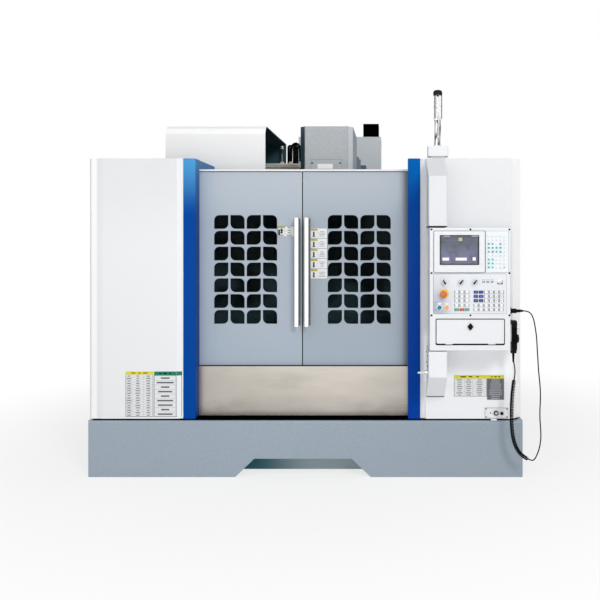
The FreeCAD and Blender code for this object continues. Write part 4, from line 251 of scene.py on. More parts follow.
def moulded_rubber(name, colour, rough, shine=0.0):
    """Moulded rubber: dull, with a faint bloom."""
    f = Finish(name, colour, rough, shine=shine)
    f.cloud(22, 4, 0.4, 0.8, 0.5, 1.8)
    f.roughen(f.grain(50), 0.18)
    f.raise_by(f.grain(700, 4), 0.00007)
    return f.done()


def clear_sheet(name, colour, rough, through, shine, ior, foot=None):
    """Glass or clear plastic with faint wipe marks, and a painted teal reflection in patches low
    down where a foot colour is given.
    """
    f = Finish(name, colour, rough, shine=shine)
    f.feed(through, f.shader["Transmission Weight"])
    f.feed(ior, f.shader["IOR"])
    wiped = f.grain(1, 3, f.stretch((14, 14, 60), (0, 0.5, 0)))
    f.roughen(f.span(wiped, 0.5, 0.8), 0.05)
    f.cloud(4, 2, 0.3, 0.8, 0.3, 1.25)
    # Painted reflection: lighter teal patches low down on the panes.
    if foot:
        low = f.span(f.axis("Z"), 1.34, 1.14)
        f.tint(f.math("MULTIPLY", low, f.span(f.grain(3.5, 2), 0.36, 0.6)), foot)
    return f.done()


def tube_metal(name, colour, rough, middles, half):
    """Bright polished tube whose sides carry a painted dark reflection."""
    f = Finish(name, colour, rough, metal=0.6)
    streaks = f.streaks("Z", 6, 900, 4, 0.6)
    f.tint(f.span(streaks, 0.3, 0.7, 0, 0.3), 0.86)
    # Painted reflection: dark strips along both sides of each handle.
    for middle in middles:
        across = f.math("SUBTRACT", f.axis("X"), middle)
        near = f.span(f.math("ABSOLUTE", across), half * 1.6, half * 1.5)
        right = f.span(across, half * 0.70, half * 0.85, 0, 0.85)
        left = f.span(across, half * -0.90, half * -0.97, 0, 0.9)
        for side in (left, right):
            f.tint(f.math("MULTIPLY", near, side), 0.16)
    f.roughen(streaks, 0.14)
    f.raise_by(streaks, 0.00002)
    return f.done()


def printed_film(name, colour, rough, corner):
    """Panel film that darkens to lilac towards its lower left corner."""
    f = Finish(name, colour, rough, shine=0.3)
    across = f.span(f.axis("X"), 0.75, 0.9, 1, 0)
    down = f.span(f.axis("Z"), 1.2, 1.02, 0.25, 1)
    f.tint(f.math("MULTIPLY", across, down), corner)
    f.cloud(45, 3, 0.35, 0.75, 0.3, 0.94)
    f.roughen(f.grain(30, 4), 0.1)
    f.raise_by(f.grain(1500), 0.00003)
    return f.done()


def display_glow(name, top, rough, foot):
    """The picture area of the display: slate at the top, lilac at the foot, dark edges."""
    f = Finish(name, top, rough, shine=0.15)
    f.tint(f.span(f.axis("Z"), 1.42, 1.31), foot)
    f.cloud(24, 3, 0.4, 0.7, 0.5, 0.6)
    f.cloud(9, 2, 0.45, 0.75, 0.4, (0.25, 0.21, 0.4))
    lines = f.grain(1, 2, f.stretch((3, 1, 190)))
    f.tint(f.math("MULTIPLY", f.span(lines, 0.5, 0.7, 0, 0.8),
                  f.span(f.axis("Z"), 1.405, 1.415)), 2.2)
    middle_x, middle_z = 0.8975, 1.3595
    f.tint(f.span(f.aside("X", middle_x), 0.098, 0.109, 0, 0.8), 0.3)
    f.tint(f.span(f.aside("Z", middle_z), 0.072, 0.082, 0, 0.8), 0.35)
    f.roughen(f.grain(60, 2), 0.06)
    return f.done()


def paint_and_steel(name, paint, rough, steel, axis, edge, full, streak, metal=1.0):
    """Paint up to an edge on one axis and bright steel past it."""
    f = Finish(name, paint, rough, shine=0.35)
    past = f.span(f.axis(axis), edge, full)
    f.cloud(38, 4, 0.45, 0.8, 0.25, 0.94)
    f.tint(past, steel)
    streaks = f.grain(1, 3, f.stretch((95, 95, 9), (0.25, 0, 0)), 0.6)
    f.tint(f.math("MULTIPLY", past, f.span(streaks, 0.47, 0.55)), shade_of(steel, streak))
    f.metal = f.math("MULTIPLY", past, metal)
    f.rough = f.math("SUBTRACT", rough, f.math("MULTIPLY", past, 0.24))
    f.raise_by(f.grain(420, 2), 0.00004)
    return f.done()


# Each finish is its maker, its colour, its roughness, and what else the maker needs.
ON_FRONT = ("Y", -0.94, -0.97)
ON_RIGHT = ("X", 0.7, 0.72)
JET = (0.001, 0.001, 0.001)
FINISHES = {
    sprayed_paint: {
        "tank_paint": ((0.325, 0.388, 0.455), 0.42, {"dust": 0.12, "speckle": 0.3, "bands": [
            # Painted shade: the tank grows darker towards its right end.
            (("X", -0.2, 1.1, 0.35), (0.245, 0.29, 0.335))]}),
        "white_paint": ((0.765, 0.775, 0.79), 0.38, {"bands": [
            # Painted light: the left enclosure's front grows lighter towards its foot.
            (ON_FRONT, ("X", -0.65, -0.7), ("Z", 1.9, 1.3), (0.825, 0.835, 0.85)),
            # Painted highlight between painted shade on the rounded front left corner.
            (("X", -1.205, -1.238, 0.3), (0.66, 0.66, 0.67)),
            (("X", -1.244, -1.256), (0.93, 0.93, 0.93)),
            (("X", -1.279, -1.292, 0.85), (0.66, 0.66, 0.67)),
            # Painted highlight on the right enclosure's front right corner.
            (("X", 1.2395, 1.2415), ("Y", -0.9, -0.93), (0.97, 0.97, 0.97)),
            # Painted light on the right front panel, lifting the control box's shadow below it and
            # the lower panel.
            (ON_FRONT, ON_RIGHT, ("Z", 0.9, 0.82), ("Z", 0.5, 0.62), (0.97, 0.98, 1)),
            (ON_FRONT, ON_RIGHT, ("Z", 0.6, 0.5, 0.8), (0.87, 0.88, 0.9)),
            # Painted highlight on the fold strip beside the left post.
            (("X", -0.774, -0.7705, 0.7), ("X", -0.72, -0.73), (0.86, 0.87, 0.88))]}),
        # Whiter than white_paint, partly painted light; the band is a painted highlight on the
        # top's rounded front edge.
        "cover_white": ((0.94, 0.94, 0.94), 0.4, {"bands": [
            (("Z", 2.115, 2.135, 0.9), ("Z", 2.168, 2.15), (1, 1, 1))]}),
        "shade_paint": ((0.46, 0.47, 0.47), 0.42),
        "blue_paint": ((0, 0.06, 0.33), 0.3, {"shine": 0.04, "bands": [
            # Painted highlights lighten the tops of the left and right posts.
            (("Z", 1.55, 1.92, 0.75), ("X", 0.2, -0.2), (0.1, 0.42, 0.76)),
            (("Z", 1.6, 1.9, 0.4), ("X", -0.2, 0.2), (0, 0.19, 0.55)),
            # Painted shade on the left post's inner side face.
            (("Y", -0.972, -0.965), ("X", 0.2, -0.2, 0.45), (0, 0.03, 0.2)),
            # Painted shade: the right post grows darker below its top.
            (("X", 0.2, 0.6, 0.8), ("Z", 1.5, 1.1), (0, 0.042, 0.31))]}),
        "door_paint": ((0.385, 0.445, 0.515), 0.36, {"speckle": 0.06, "bands": [
            # Painted shade: the right door is darker than the left.
            (("X", -0.033, -0.029, 0.5), (0.29, 0.34, 0.385)),
            # Painted light and shade: the doors grow lighter towards the top and darker towards
            # the foot.
            (("Z", 1.45, 1.8, 0.45), (0.53, 0.57, 0.61)),
            (("Z", 0.95, 0.7, 0.35), (0.35, 0.44, 0.52)),
            # Painted shadow: a dark strip along the right door's right edge beside the post.
            (("X", 0.575, 0.612, 0.9), (0.13, 0.17, 0.175)),
            # Painted reflection: a bluer tone on the left door next to the blue post.
            (("X", -0.56, -0.62, 0.25), (0.36, 0.47, 0.6))]}),
        "cover_paint": ((0.64, 0.69, 0.735), 0.46, {"peel": 0.00009, "speckle": 0.28}),
        "hood_paint": ((0.455, 0.482, 0.505), 0.46, {
            "peel": 0.00009, "speckle": 0.28, "bands": [
                # Painted shade on the head cover's left bevel, a painted highlight on its right
                # bevel and painted shade on its right side.
                (("X", -0.0715, -0.0725), (0.02, 0.05, 0.06)),
                (("X", 0.221, 0.2225, 0.7), (0.74, 0.78, 0.83)),
                (("X", 0.2515, 0.2525, 0.85), (0.1, 0.17, 0.2))]}),
        "head_paint": ((0.22, 0.28, 0.33), 0.5, {"peel": 0.0002, "speckle": 0.15}),
        "bracket_paint": ((0.795, 0.81, 0.83), 0.4),
        "arm_paint": ((0.745, 0.76, 0.785), 0.4, {"bands": [
            # Painted light: the control bracket lighter below the box and lighter still at its
            # foot, against the box's shadow.
            (("Z", 0.92, 0.9), (0.81, 0.825, 0.85)),
            (("Z", 0.641, 0.638), (0.93, 0.94, 0.965)),
            # Painted shadow lines: in the gap between the bracket and the box's top, and under the
            # lower bracket.
            (("Z", 1.4962, 1.4956), ("Z", 1.485, 1.4855), (0.01, 0.01, 0.01)),
            (("Z", 0.486, 0.483, 0.9), (0.02, 0.02, 0.02))]}),
        # Painted light and shade of the toe recess: a lighter copy of the tank paint, painted
        # shade to the left and under the recess top.
        "toe_paint": ((0.39, 0.475, 0.5), 0.5, {"bands": [
            (("X", 0.05, -0.34, 0.97), (0, 0.12, 0.145)),
            (("Z", 0.08, 0.108, 0.95), (0, 0.022, 0.028))]}),
        "motor_paint": (JET, 0.5, {"peel": 0.0001, "shine": 0})},
    brushed_metal: {
        "apron_steel": ((0.495, 0.46, 0.415), 0.34, {"metal": 0.8, "wiped": (0.72, 1.22, 0.35)}),
        "track_steel": ((0.6, 0.6, 0.58), 0.36),
        "knob_metal": ((0.8, 0.81, 0.82), 0.32, {"along": "Z", "metal": 0.8}),
        "lever_chrome": ((0.76, 0.76, 0.78), 0.14, {"scratch": 0.000006}),
        "screw_steel": ((0.34, 0.34, 0.35), 0.3, {"scratch": 0.000006})},
    cast_paint: {
        "casting_paint": ((0.1, 0.17, 0.17), 0.5), "dark_casting": ((0.01, 0.018, 0.022), 0.6),
        # Painted shade with a faint teal sheen for the sheets inside the magazine cover; also the
        # dark mat behind the cabinet vents.
        "lining_foam": ((0.034, 0.092, 0.12), 0.85)},
    ground_metal: {
        "table_iron": ((0.42, 0.42, 0.4), 0.36),
        "turned_steel": ((0.62, 0.62, 0.62), 0.24, {"along": "Z"})},
    moulded_rubber: {
        "seal_rubber": (JET, 0.62), "cord_rubber": (JET, 0.4, {"shine": 0.06})},
    clear_sheet: {
        # The foot colour paints a teal reflection low on the door panes.
        "window_tint": ((0.02, 0.03, 0.032), 0.05, {
            "through": 0.95, "shine": 0.03, "ior": 1.04, "foot": (0.105, 0.19, 0.215)}),
        "lens_clear": ((0.9, 0.92, 0.93), 0.06, {"through": 0.96, "shine": 0.4, "ior": 1.18})},
    tube_metal: {
        "handle_metal": ((0.78, 0.79, 0.8), 0.3, {"middles": (-0.061, 0), "half": 0.015})},
    printed_film: {
        "panel_film": ((0.765, 0.785, 0.825), 0.42, {"corner": (0.38, 0.4, 0.5)})},
    display_glow: {
        "screen_glass": ((0.115, 0.135, 0.165), 0.25, {"foot": (0.18, 0.18, 0.285)})},
    paint_and_steel: {
        "mast_finish": ((0.8, 0.815, 0.83), 0.4, {
            "steel": (0.72, 0.72, 0.73), "axis": "Z", "edge": 1.9845, "full": 1.985,
            "streak": 0.1}),
        # Painted light: cream brightened past its own colour against the shade under the cover,
        # with near white rails past the edge instead of steel.
        "beam_finish": ((0.92, 0.89, 0.79), 0.4, {
            "steel": (0.97, 0.94, 0.85), "axis": "Y", "edge": 0.3298, "full": 0.3294,
            "streak": 0.9, "metal": 0.15})},
    moulded_plastic: {
        "hose_plastic": (JET, 0.4, {"shine": 0.06}),
        "frame_plastic": ((0.8, 0.81, 0.825), 0.45), "pad_plastic": ((0.82, 0.86, 0.88), 0.5),
        "stop_plastic": ((0.62, 0.16, 0.03), 0.28, {"grit": 0.00002, "coat": 0.3}),
        "start_plastic": ((0.004, 0.17, 0.22), 0.25, {"grit": 0.00002, "coat": 0.2}),
        "hold_plastic": ((0.8, 0.36, 0.03), 0.25, {"grit": 0.00002, "coat": 0.3}),
        "yellow_film": ((0.88, 0.58, 0.015), 0.4), "lime_film": ((0.74, 0.68, 0.015), 0.45),
        "mustard_film": ((0.46, 0.38, 0.03), 0.45), "green_film": ((0.012, 0.19, 0.1), 0.45),
        "paper_film": ((0.78, 0.79, 0.8), 0.5), "grey_film": ((0.105, 0.11, 0.12), 0.5),
        "cream_film": ((0.5, 0.48, 0.33), 0.5), "pale_grey_film": ((0.42, 0.43, 0.46), 0.5),
        "ink": ((0.012, 0.012, 0.014), 0.6, {"shine": 0.1}),
        "soft_ink": ((0.13, 0.135, 0.145), 0.6), "cyan_ink": ((0.03, 0.33, 0.4), 0.6),
        "dark_cyan_ink": ((0.03, 0.16, 0.2), 0.6), "cyan_film": ((0.3, 0.66, 0.72), 0.5),
        "lit_white": ((0.97, 0.97, 0.97), 0.45), "key_white": ((0.88, 0.89, 0.9), 0.42),
        "key_blue": ((0.012, 0.045, 0.31), 0.4), "key_green": ((0.09, 0.42, 0.27), 0.4),
        "key_red": ((0.7, 0.1, 0.05), 0.4), "knob_grey": ((0.72, 0.74, 0.78), 0.45),
        "black_plastic": ((0.002, 0.002, 0.002), 0.42, {"grit": 0.00008, "shine": 0.08}),
        "screw_black": ((0.004, 0.004, 0.004), 0.4, {"shine": 0.1})},
}
finish_of = {name: maker(name, colour, rough, **dict(*more))
             for maker, table in FINISHES.items()
             for name, (colour, rough, *more) in table.items()}

PAINTED = {
    "tank_paint": "coolant_tank", "seal_rubber": "base_seal",
    "casting_paint": "machine_bed column saddle",
    "white_paint": "left_enclosure right_enclosure door_top_rail",
    "blue_paint": "left_post right_post roof_side_beam", "apron_steel": "front_apron",
    "track_steel": "door_bottom_rail chip_pans", "motor_paint": "z_servo_motor cabinet_fan",
    "shade_paint": "rear_guard", "beam_finish": "magazine_beam",
    "cover_white": "magazine_cover", "hose_plastic": "conduit",
    "cover_paint": "electrical_cabinet cabinet_door", "arm_paint": "control_bracket",
    "mast_finish": "stack_light_base", "lens_clear": "stack_light_lens",
    "bracket_paint": "service_plate control_box_shell flap",
    "door_paint": "left_door_panel right_door_panel",
    "window_tint": "left_door_glass right_door_glass",
    "handle_metal": "left_door_handle right_door_handle", "table_iron": "table",
    "head_paint": "head_casting", "hood_paint": "head_cover",
    "turned_steel": "spindle carousel", "dark_casting": "magazine_carriage",
    "frame_plastic": "display_bezel", "pad_plastic": "mdi_keypad",
    "panel_film": "operator_panel",
    "black_plastic": "pendant cord_plug flap_latch pendant_handwheel cabinet_latch",
    "stop_plastic": "emergency_stop", "start_plastic": "cycle_start",
    "hold_plastic": "feed_hold", "knob_grey": "mode_knob feed_knob speed_knob",
    "knob_metal": "pendant_axis_knob pendant_step_knob", "lever_chrome": "clamp_lever",
}
for finish_name, node_names in PAINTED.items():
    for node_name in node_names.split():
        slots = nodes[node_name].data.materials
        slots.clear()
        slots.append(finish_of[finish_name])


# ---------------------------------------------------------------- shaping helpers
def facing(out, up, place):
    """A frame on a face: across, up along the face, and out of it."""
    out, up = Vector(out), Vector(up)
    matrix = Matrix((up.cross(out), up, out)).transposed().to_4x4()
    matrix.translation = place
    return matrix


# Each side's way out of the machine, and which way is up on it.
SIDES = {"front": ((0, -1, 0), (0, 0, 1)), "back": ((0, 1, 0), (0, 0, 1)),
         "right": ((1, 0, 0), (0, 0, 1)), "left": ((-1, 0, 0), (0, 0, 1)),
         "top": ((0, 0, 1), (0, 1, 0))}


def face_at(side, reach):
    """A plane that looks to one side, at its distance that way from the origin.

    Across is X on the front and top, -X on the back, Y on the right and -Y on the left."""
    out, up = SIDES[side]
    return facing(out, up, Vector(out) * reach)


def face_of(node, side, lift=0.0):
    """The outermost plane of a CAD piece on one side, or a plane lifted off it."""
    out = Vector(SIDES[side][0])
    reach = max(out.dot(corner.co) for corner in nodes[node].data.vertices)
    return face_at(side, round(reach, 4) + lift)


def arc(centre, radius, degrees):
    """Points on a circle, at the given angles."""
    return [(centre[0] + radius * math.cos(math.radians(a)),
             centre[1] + radius * math.sin(math.radians(a))) for a in degrees]


def circle_outline(centre, radius, steps=40):
    return arc(centre, radius, [360 * i / steps for i in range(steps)])


def box_outline(low, high, radius):
    """A rectangle with rounded corners, counter-clockwise."""
    radius = max(radius, 0.00005)
    left, right = low[0] + radius, high[0] - radius
    foot, top = low[1] + radius, high[1] - radius
    outline = []
    for k, centre in enumerate(((right, top), (left, top), (left, foot), (right, foot))):
        outline += arc(centre, radius, [90 * (k + i / 4) for i in range(5)])
    return outline


def settle(name, data, body, slot, finishes=(), smooth=None):
    """Puts a finished mesh in the scene, on its body; its material slot is not used."""
    if smooth is not None:
        data.shade_smooth()
        data.set_sharp_from_angle(angle=math.radians(smooth))
    for finish in finishes:
        data.materials.append(finish_of[finish])
    thing = put(name, data)
    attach(thing, body)


SUNK = -0.0002      # thin marks start just under the surface they are on


class Build:
    """A piece made of ringed forms that stand on a face of the machine."""

    def __init__(self, name, body, slot, finishes, face=None):
        self.label = (body, slot, finishes.split())
        self.name = name
        self.face = face or Matrix()
        self.shape = bmesh.new()

    def loop(self, outline, out):
        return [self.shape.verts.new(self.face @ Vector((a, u, out))) for a, u in outline]

    def walls(self, loops, finish=0):
        for low, high in zip(loops, loops[1:]):
            for i in range(len(low)):
                j = (i + 1) % len(low)
                face = self.shape.faces.new((low[i], low[j], high[j], high[i]))
                face.material_index = finish
        return self

    def rings(self, levels, finish=0):
        """Outlines of equal count, joined in order and closed at both ends."""
        loops = [self.loop(outline, out) for outline, out in levels]
        self.walls(loops, finish)
        for end in (loops[0], loops[-1]):
            self.shape.faces.new(end).material_index = finish
        return self

    def plate(self, low, high, out, thick, radius=0.0, edge=0.0, finish=0):
        """A plate from a lower left to an upper right corner, with a softened front edge."""
        full = box_outline(low, high, radius)
        levels = [(full, out), (full, out + thick - edge)]
        if edge:
            small = box_outline((low[0] + edge, low[1] + edge), (high[0] - edge, high[1] - edge),
                                max(radius - edge, 0.0))
            levels.append((small, out + thick))
        return self.rings(levels, finish)

    def patch(self, centre, half, out, thick, radius=0.0, finish=0):
        """A plate round a centre, by its half width and half height."""
        (x, z), (across, up) = centre, half
        return self.plate((x - across, z - up), (x + across, z + up), out, thick, radius,
                          finish=finish)

    def border(self, low, high, width, out, thick, radius=0.0, finish=0):
        """A flat frame whose outer edge runs from the lower left to the upper right corner."""
        outer = box_outline(low, high, radius)
        inner = box_outline((low[0] + width, low[1] + width), (high[0] - width, high[1] - width),
                            max(radius - width, 0.0))
        return self.channel(outer, inner, out, thick, finish)

    def collar(self, centre, outer, inner, out, thick, steps=40, finish=0):
        """A flat ring."""
        return self.channel(circle_outline(centre, outer, steps),
                            circle_outline(centre, inner, steps), out, thick, finish)

    def channel(self, outer, inner, out, thick, finish):
        loops = [self.loop(outer, out), self.loop(outer, out + thick),
                 self.loop(inner, out + thick), self.loop(inner, out)]
        return self.walls(loops + loops[:1], finish)

    def turned(self, centre, profile, steps=32, finish=0):
        """A turned form: (radius, height) pairs up from the face."""
        return self.rings([(circle_outline(centre, r, steps), h) for r, h in profile], finish)

    def done(self, smooth=35):
        bmesh.ops.recalc_face_normals(self.shape, faces=self.shape.faces)
        data = bpy.data.meshes.new(self.name)
        self.shape.to_mesh(data)
        self.shape.free()
        settle(self.name, data, *self.label, smooth)


# ---------------------------------------------------------------- grown pieces
class Growth(Tree):
    """A Geometry Nodes tree with named sizes; what it grows becomes a plain mesh."""

    def __init__(self, name, sizes, whole=(), chained=False):
        super().__init__(bpy.data.node_groups.new(name, "GeometryNodeTree"))
        self.chained = chained
        sockets = self.tree.interface
        for way in ("INPUT", "OUTPUT"):
            sockets.new_socket("Geometry", in_out=way, socket_type="NodeSocketGeometry")
        kinds = {label: "Int" if label in whole else "Float" for label in sizes.split()}
        self.names = {}
        for label, kind in {"Turn": "Vector", **kinds, "Material": "Material"}.items():
            socket = sockets.new_socket(label, in_out="INPUT", socket_type="NodeSocket" + kind)
            self.names[label] = socket.identifier
        self.given = self.add("NodeGroupInput").outputs
        self.result = self.add("NodeGroupOutput").inputs

    def geo(self, kind, feeds=(), **settings):
        """The first output of a new geometry node."""
        return self.add("GeometryNode" + kind, feeds, **settings).outputs[0]

    def draw_up(self, shape, top, height, shrink=None):
        """Draws a face out by a height and scales it there."""
        feeds = {"Mesh": shape, "Offset Scale": height, "Individual": False}
        if top is not None:
            feeds["Selection"] = top
        drawn = self.add("GeometryNodeExtrudeMesh", feeds).outputs
        shape, top = drawn["Mesh"], drawn["Top"]
        if shrink is not None:
            shape = self.geo("ScaleElements", {"Geometry": shape, "Selection": top,
                                               "Scale": shrink})
        return shape, top

    def sheet(self):
        """A rectangle of the given width and depth."""
        return self.geo("MeshGrid", {"Size X": self.given["Width"], "Size Y": self.given["Depth"],
                                     "Vertices X": 2, "Vertices Y": 2})

    def end_with(self, shape):
        real = self.geo("RealizeInstances", {"Geometry": shape})
        painted = self.geo("SetMaterial", {"Geometry": real, "Material": self.given["Material"]})
        self.feed(painted, self.result[0])
        return self

    def end_on_points(self, shape, foot=None, **more):
        """Copies the shape to the seed's points, closed by its foot if it has one."""
        if foot is not None:
            shape = self.add("GeometryNodeJoinGeometry", {"Geometry": shape})
            self.feed(foot, shape.inputs[0])
            shape = shape.outputs[0]
        turn = self.add("FunctionNodeEulerToRotation", {0: self.given["Turn"]}).outputs[0]
        return self.end_with(self.geo("InstanceOnPoints", {
            "Points": self.given["Geometry"], "Instance": shape, "Rotation": turn, **more}))

    def grow(self, name, body, slot, finish, face, places, smooth=35, **sizes):
        """Grows a piece on places (across, up, out) of a face."""
        points = [face @ Vector(place) for place in places]
        seed_data = bpy.data.meshes.new(name + "_seed")
        chain = [(k, k + 1) for k in range(len(points) - 1)] if self.chained else []
        seed_data.from_pydata(points, chain, [])
        seed = put(name + "_seed", seed_data)
        modifier = seed.modifiers.new("growth", "NODES")
        modifier.node_group = self.tree
        modifier[self.names["Material"]] = finish_of[finish]
        modifier[self.names["Turn"]] = tuple(face.to_euler())
        for label, value in sizes.items():
            modifier[self.names[label]] = value
        grown = seed.evaluated_get(bpy.context.evaluated_depsgraph_get())
        data = bpy.data.meshes.new_from_object(grown)
        data.name = name
        bpy.data.objects.remove(seed)
        shape = bmesh.new()
        shape.from_mesh(data)
        bmesh.ops.remove_doubles(shape, verts=shape.verts, dist=0.00001)
        bmesh.ops.recalc_face_normals(shape, faces=shape.faces)
        shape.to_mesh(data)
        shape.free()
        settle(name, data, body, slot, smooth=smooth)


def screw_growth():
    """Button-head screws with a recess: a disc drawn up, domed and dished."""
    g = Growth("screws", "Sides Radius Height", whole=("Sides",))
    disc = g.geo("MeshCircle", {"Vertices": g.given["Sides"], "Radius": g.given["Radius"]},
                 fill_type="NGON")
    shape, top = disc, None
    for share, shrink in ((0.55, None), (0.45, 0.76), (0.0, 0.62), (-0.6, None)):
        rise = g.math("MULTIPLY", g.given["Height"], share)
        shape, top = g.draw_up(shape, top, rise, shrink)
    return g.end_on_points(shape, disc)


def cap_growth():
    """Key caps: a rectangle drawn up and drawn in."""
    g = Growth("caps", "Width Depth Rise Taper")
    foot = g.sheet()
    shape, top = g.draw_up(foot, None, g.math("MULTIPLY", g.given["Rise"], 0.6))
    shape, top = g.draw_up(shape, top, g.math("MULTIPLY", g.given["Rise"], 0.4),
                           g.given["Taper"])
    return g.end_on_points(shape, foot)


def dash_growth():
    """Short printed dashes whose length differs from one to the next."""
    g = Growth("dashes", "Width Depth Rise Seed", whole=("Seed",))
    foot = g.sheet()
    shape, top = g.draw_up(foot, None, g.given["Rise"])
    length = g.add("FunctionNodeRandomValue", data_type="FLOAT_VECTOR", feeds={
        "Min": (0.45, 1, 1), "Max": (1, 1, 1), "Seed": g.given["Seed"]}).outputs[0]
    return g.end_on_points(shape, foot, Scale=length)


def slat_growth():
    """Rounded slats: a filleted strip swept along a straight line and tipped."""
    g = Growth("slats", "Length Width Thick Tip")
    section = g.geo("CurvePrimitiveQuadrilateral",
                    {"Width": g.given["Width"], "Height": g.given["Thick"]})
    soft = g.geo("FilletCurve", {
        "Curve": section, "Radius": g.math("MULTIPLY", g.given["Thick"], 0.49),
        "Count": 3, "Limit Radius": True}, mode="POLY")
    half = g.math("MULTIPLY", g.given["Length"], 0.5)
    ends = [g.add("ShaderNodeCombineXYZ", {"X": g.math("MULTIPLY", half, side)}).outputs[0]
            for side in (-1.0, 1.0)]
    line = g.geo("CurvePrimitiveLine", {"Start": ends[0], "End": ends[1]})
    strip = g.geo("CurveToMesh", {"Curve": line, "Profile Curve": soft, "Fill Caps": True})
    tip = g.add("ShaderNodeCombineXYZ", {"X": g.given["Tip"]}).outputs[0]
    return g.end_on_points(g.geo("Transform", {"Geometry": strip, "Rotation": tip}))


def hoop_growth():
    """Concentric wire hoops of a finger guard."""
    g = Growth("hoops", "Count Step Wire", whole=("Count",))
    dots = g.geo("MeshLine", {"Count": g.given["Count"], "Offset": (0, 0, 0)}, mode="OFFSET")
    circle = g.geo("CurvePrimitiveCircle", {"Resolution": 40, "Radius": 1})
    size = g.math("MULTIPLY", g.math("ADD", g.geo("InputIndex"), 1), g.given["Step"])
    rings = g.geo("InstanceOnPoints", {"Points": dots, "Instance": circle, "Scale": size})
    lines = g.geo("RealizeInstances", {"Geometry": rings})
    wire = g.geo("CurvePrimitiveCircle", {"Resolution": 6, "Radius": g.given["Wire"]})
    return g.end_on_points(g.geo("CurveToMesh", {"Curve": lines, "Profile Curve": wire}))


def hose_growth():
    """A ribbed hose along a chain of points: two samples on a crest, two in a valley."""
    g = Growth("hose", "Radius Pitch", chained=True)
    line = g.geo("MeshToCurve", {"Mesh": g.given["Geometry"]})
    smooth = g.geo("CurveSplineType", {"Curve": line}, spline_type="NURBS")
    even = g.geo("ResampleCurve", {
        "Curve": smooth, "Length": g.math("MULTIPLY", g.given["Pitch"], 0.25)}, mode="LENGTH")
    crest = g.math("LESS_THAN", g.math("MODULO", g.geo("InputIndex"), 4), 2)
    size = g.math("ADD", g.math("MULTIPLY", crest, 0.16), 0.84)
    ring = g.geo("CurvePrimitiveCircle", {"Resolution": 16, "Radius": g.given["Radius"]})
    return g.end_with(g.geo("CurveToMesh", {
        "Curve": even, "Profile Curve": ring, "Scale": size, "Fill Caps": True}))


screws = screw_growth()
caps = cap_growth()
dashes = dash_growth()
slats = slat_growth()
hoops = hoop_growth()
hose = hose_growth()


def spots(across, up):
    """Places at every pair of an across and an up."""
    return [(a, u, 0) for a in across for u in up]


def grid_places(first, across, up, pitch_across, pitch_up):
    """Places in rows and columns from a first one, row by row."""
    return [(first[0] + i * pitch_across, first[1] + j * pitch_up, 0)
            for j in range(up) for i in range(across)]


def screw_row(name, body, face, places, radius=0.004, height=0.0022, black=False):
    slot, finish = ("black_plastic", "screw_black") if black else ("chrome", "screw_steel")
    screws.grow(name, body, slot, finish, face, places, Sides=16, Radius=radius, Height=height)


def printed(name, body, slot, finish, face, places, width, depth, rise, seed):
    """Generic printed dashes."""
    dashes.grow(name, body, slot, finish, face, places, smooth=None, Width=width,
                Depth=depth, Rise=rise, Seed=seed)


def key_caps(name, slot, finish, face, places, width, depth, rise, taper):
    """Keys or frames on a face of the control box."""
    caps.grow(name, "control_box", slot, finish, face, places, Width=width, Depth=depth,
              Rise=rise, Taper=taper)


# ---------------------------------------------------------------- pendant cord
# The route of the cord: down from the plug, through the coil, up to the pendant.
cord_y = -1.105
outer_route = [
    (1.279, 1.004), (1.304, 1.004), (1.33, 0.9855), (1.344, 0.947), (1.352, 0.9),
    (1.359, 0.85), (1.362, 0.79), (1.366, 0.73), (1.369, 0.665), (1.376, 0.6),
    (1.381, 0.54), (1.381, 0.48), (1.3775, 0.425), (1.378, 0.37), (1.383, 0.315),
    (1.384, 0.262), (1.377, 0.212), (1.362, 0.167), (1.341, 0.1295),
]
coil_route = [
    (1.317, 0.1395), (1.293, 0.1495), (1.265, 0.172), (1.242, 0.204), (1.227, 0.245),
    (1.218, 0.292), (1.214, 0.345), (1.213, 0.402), (1.214, 0.46), (1.217, 0.515),
    (1.223, 0.572), (1.229, 0.612),
]
inner_route = [(1.2341, -1.105, 0.646), (1.229, -1.11, 0.686), (1.221, -1.118, 0.722),
               (1.221, -1.118, 0.748)]
cord_radius = 0.0035
curl_radius = 0.0086
curl_count = 56
curl_points = 14


def open_spline(name, points, bevel=0.0):
    """A curve of one open spline of order 3 that starts and ends at its end points."""
    data = bpy.data.curves.new(name, "CURVE")
    data.dimensions = "3D"
    spline = data.splines.new("NURBS")
    spline.points.add(len(points) - 1)
    for dot, point in zip(spline.points, points):
        dot.co = (*point, 1)
    spline.use_endpoint_u = True
    spline.order_u = 3
    data.bevel_depth = bevel
    data.bevel_resolution = 3
    spline.resolution_u = 3 if bevel else 12
    return put(name, data)


def points_along(route):
    """The points of a route's own spline, in order."""
    guide = open_spline("guide", route)
    line = bpy.data.meshes.new_from_object(
        guide.evaluated_get(bpy.context.evaluated_depsgraph_get()))
    dots = [Vector(v.co) for v in line.vertices]
    bpy.data.objects.remove(guide)
    return dots


def curled(dots, radius, count, per_turn, lead):
    """A helix round the line, growing from nothing at one end and back at the other."""
    lengths = [0.0]
    for a, b in zip(dots, dots[1:]):
        lengths.append(lengths[-1] + (b - a).length)
    wound = lengths[-1] - 2 * lead
    helix = []
    k = 0
    for i in range(count * per_turn + 1):
        turn = i / per_turn
        at = lead + wound * turn / count
        while k < len(dots) - 2 and lengths[k + 1] < at:
            k += 1
        share = (at - lengths[k]) / (lengths[k + 1] - lengths[k])
        centre = dots[k].lerp(dots[k + 1], share)
        along = (dots[k + 1] - dots[k]).normalized()
        across = along.cross(Vector((0, 1, 0))).normalized()
        up = across.cross(along)
        grow = min(1.0, turn, count - turn)
        grow = grow * grow * (3 - 2 * grow)
        angle = 2 * math.pi * turn
        helix.append(centre + (across * math.cos(angle) + up * math.sin(angle))
                     * radius * grow)
    return helix


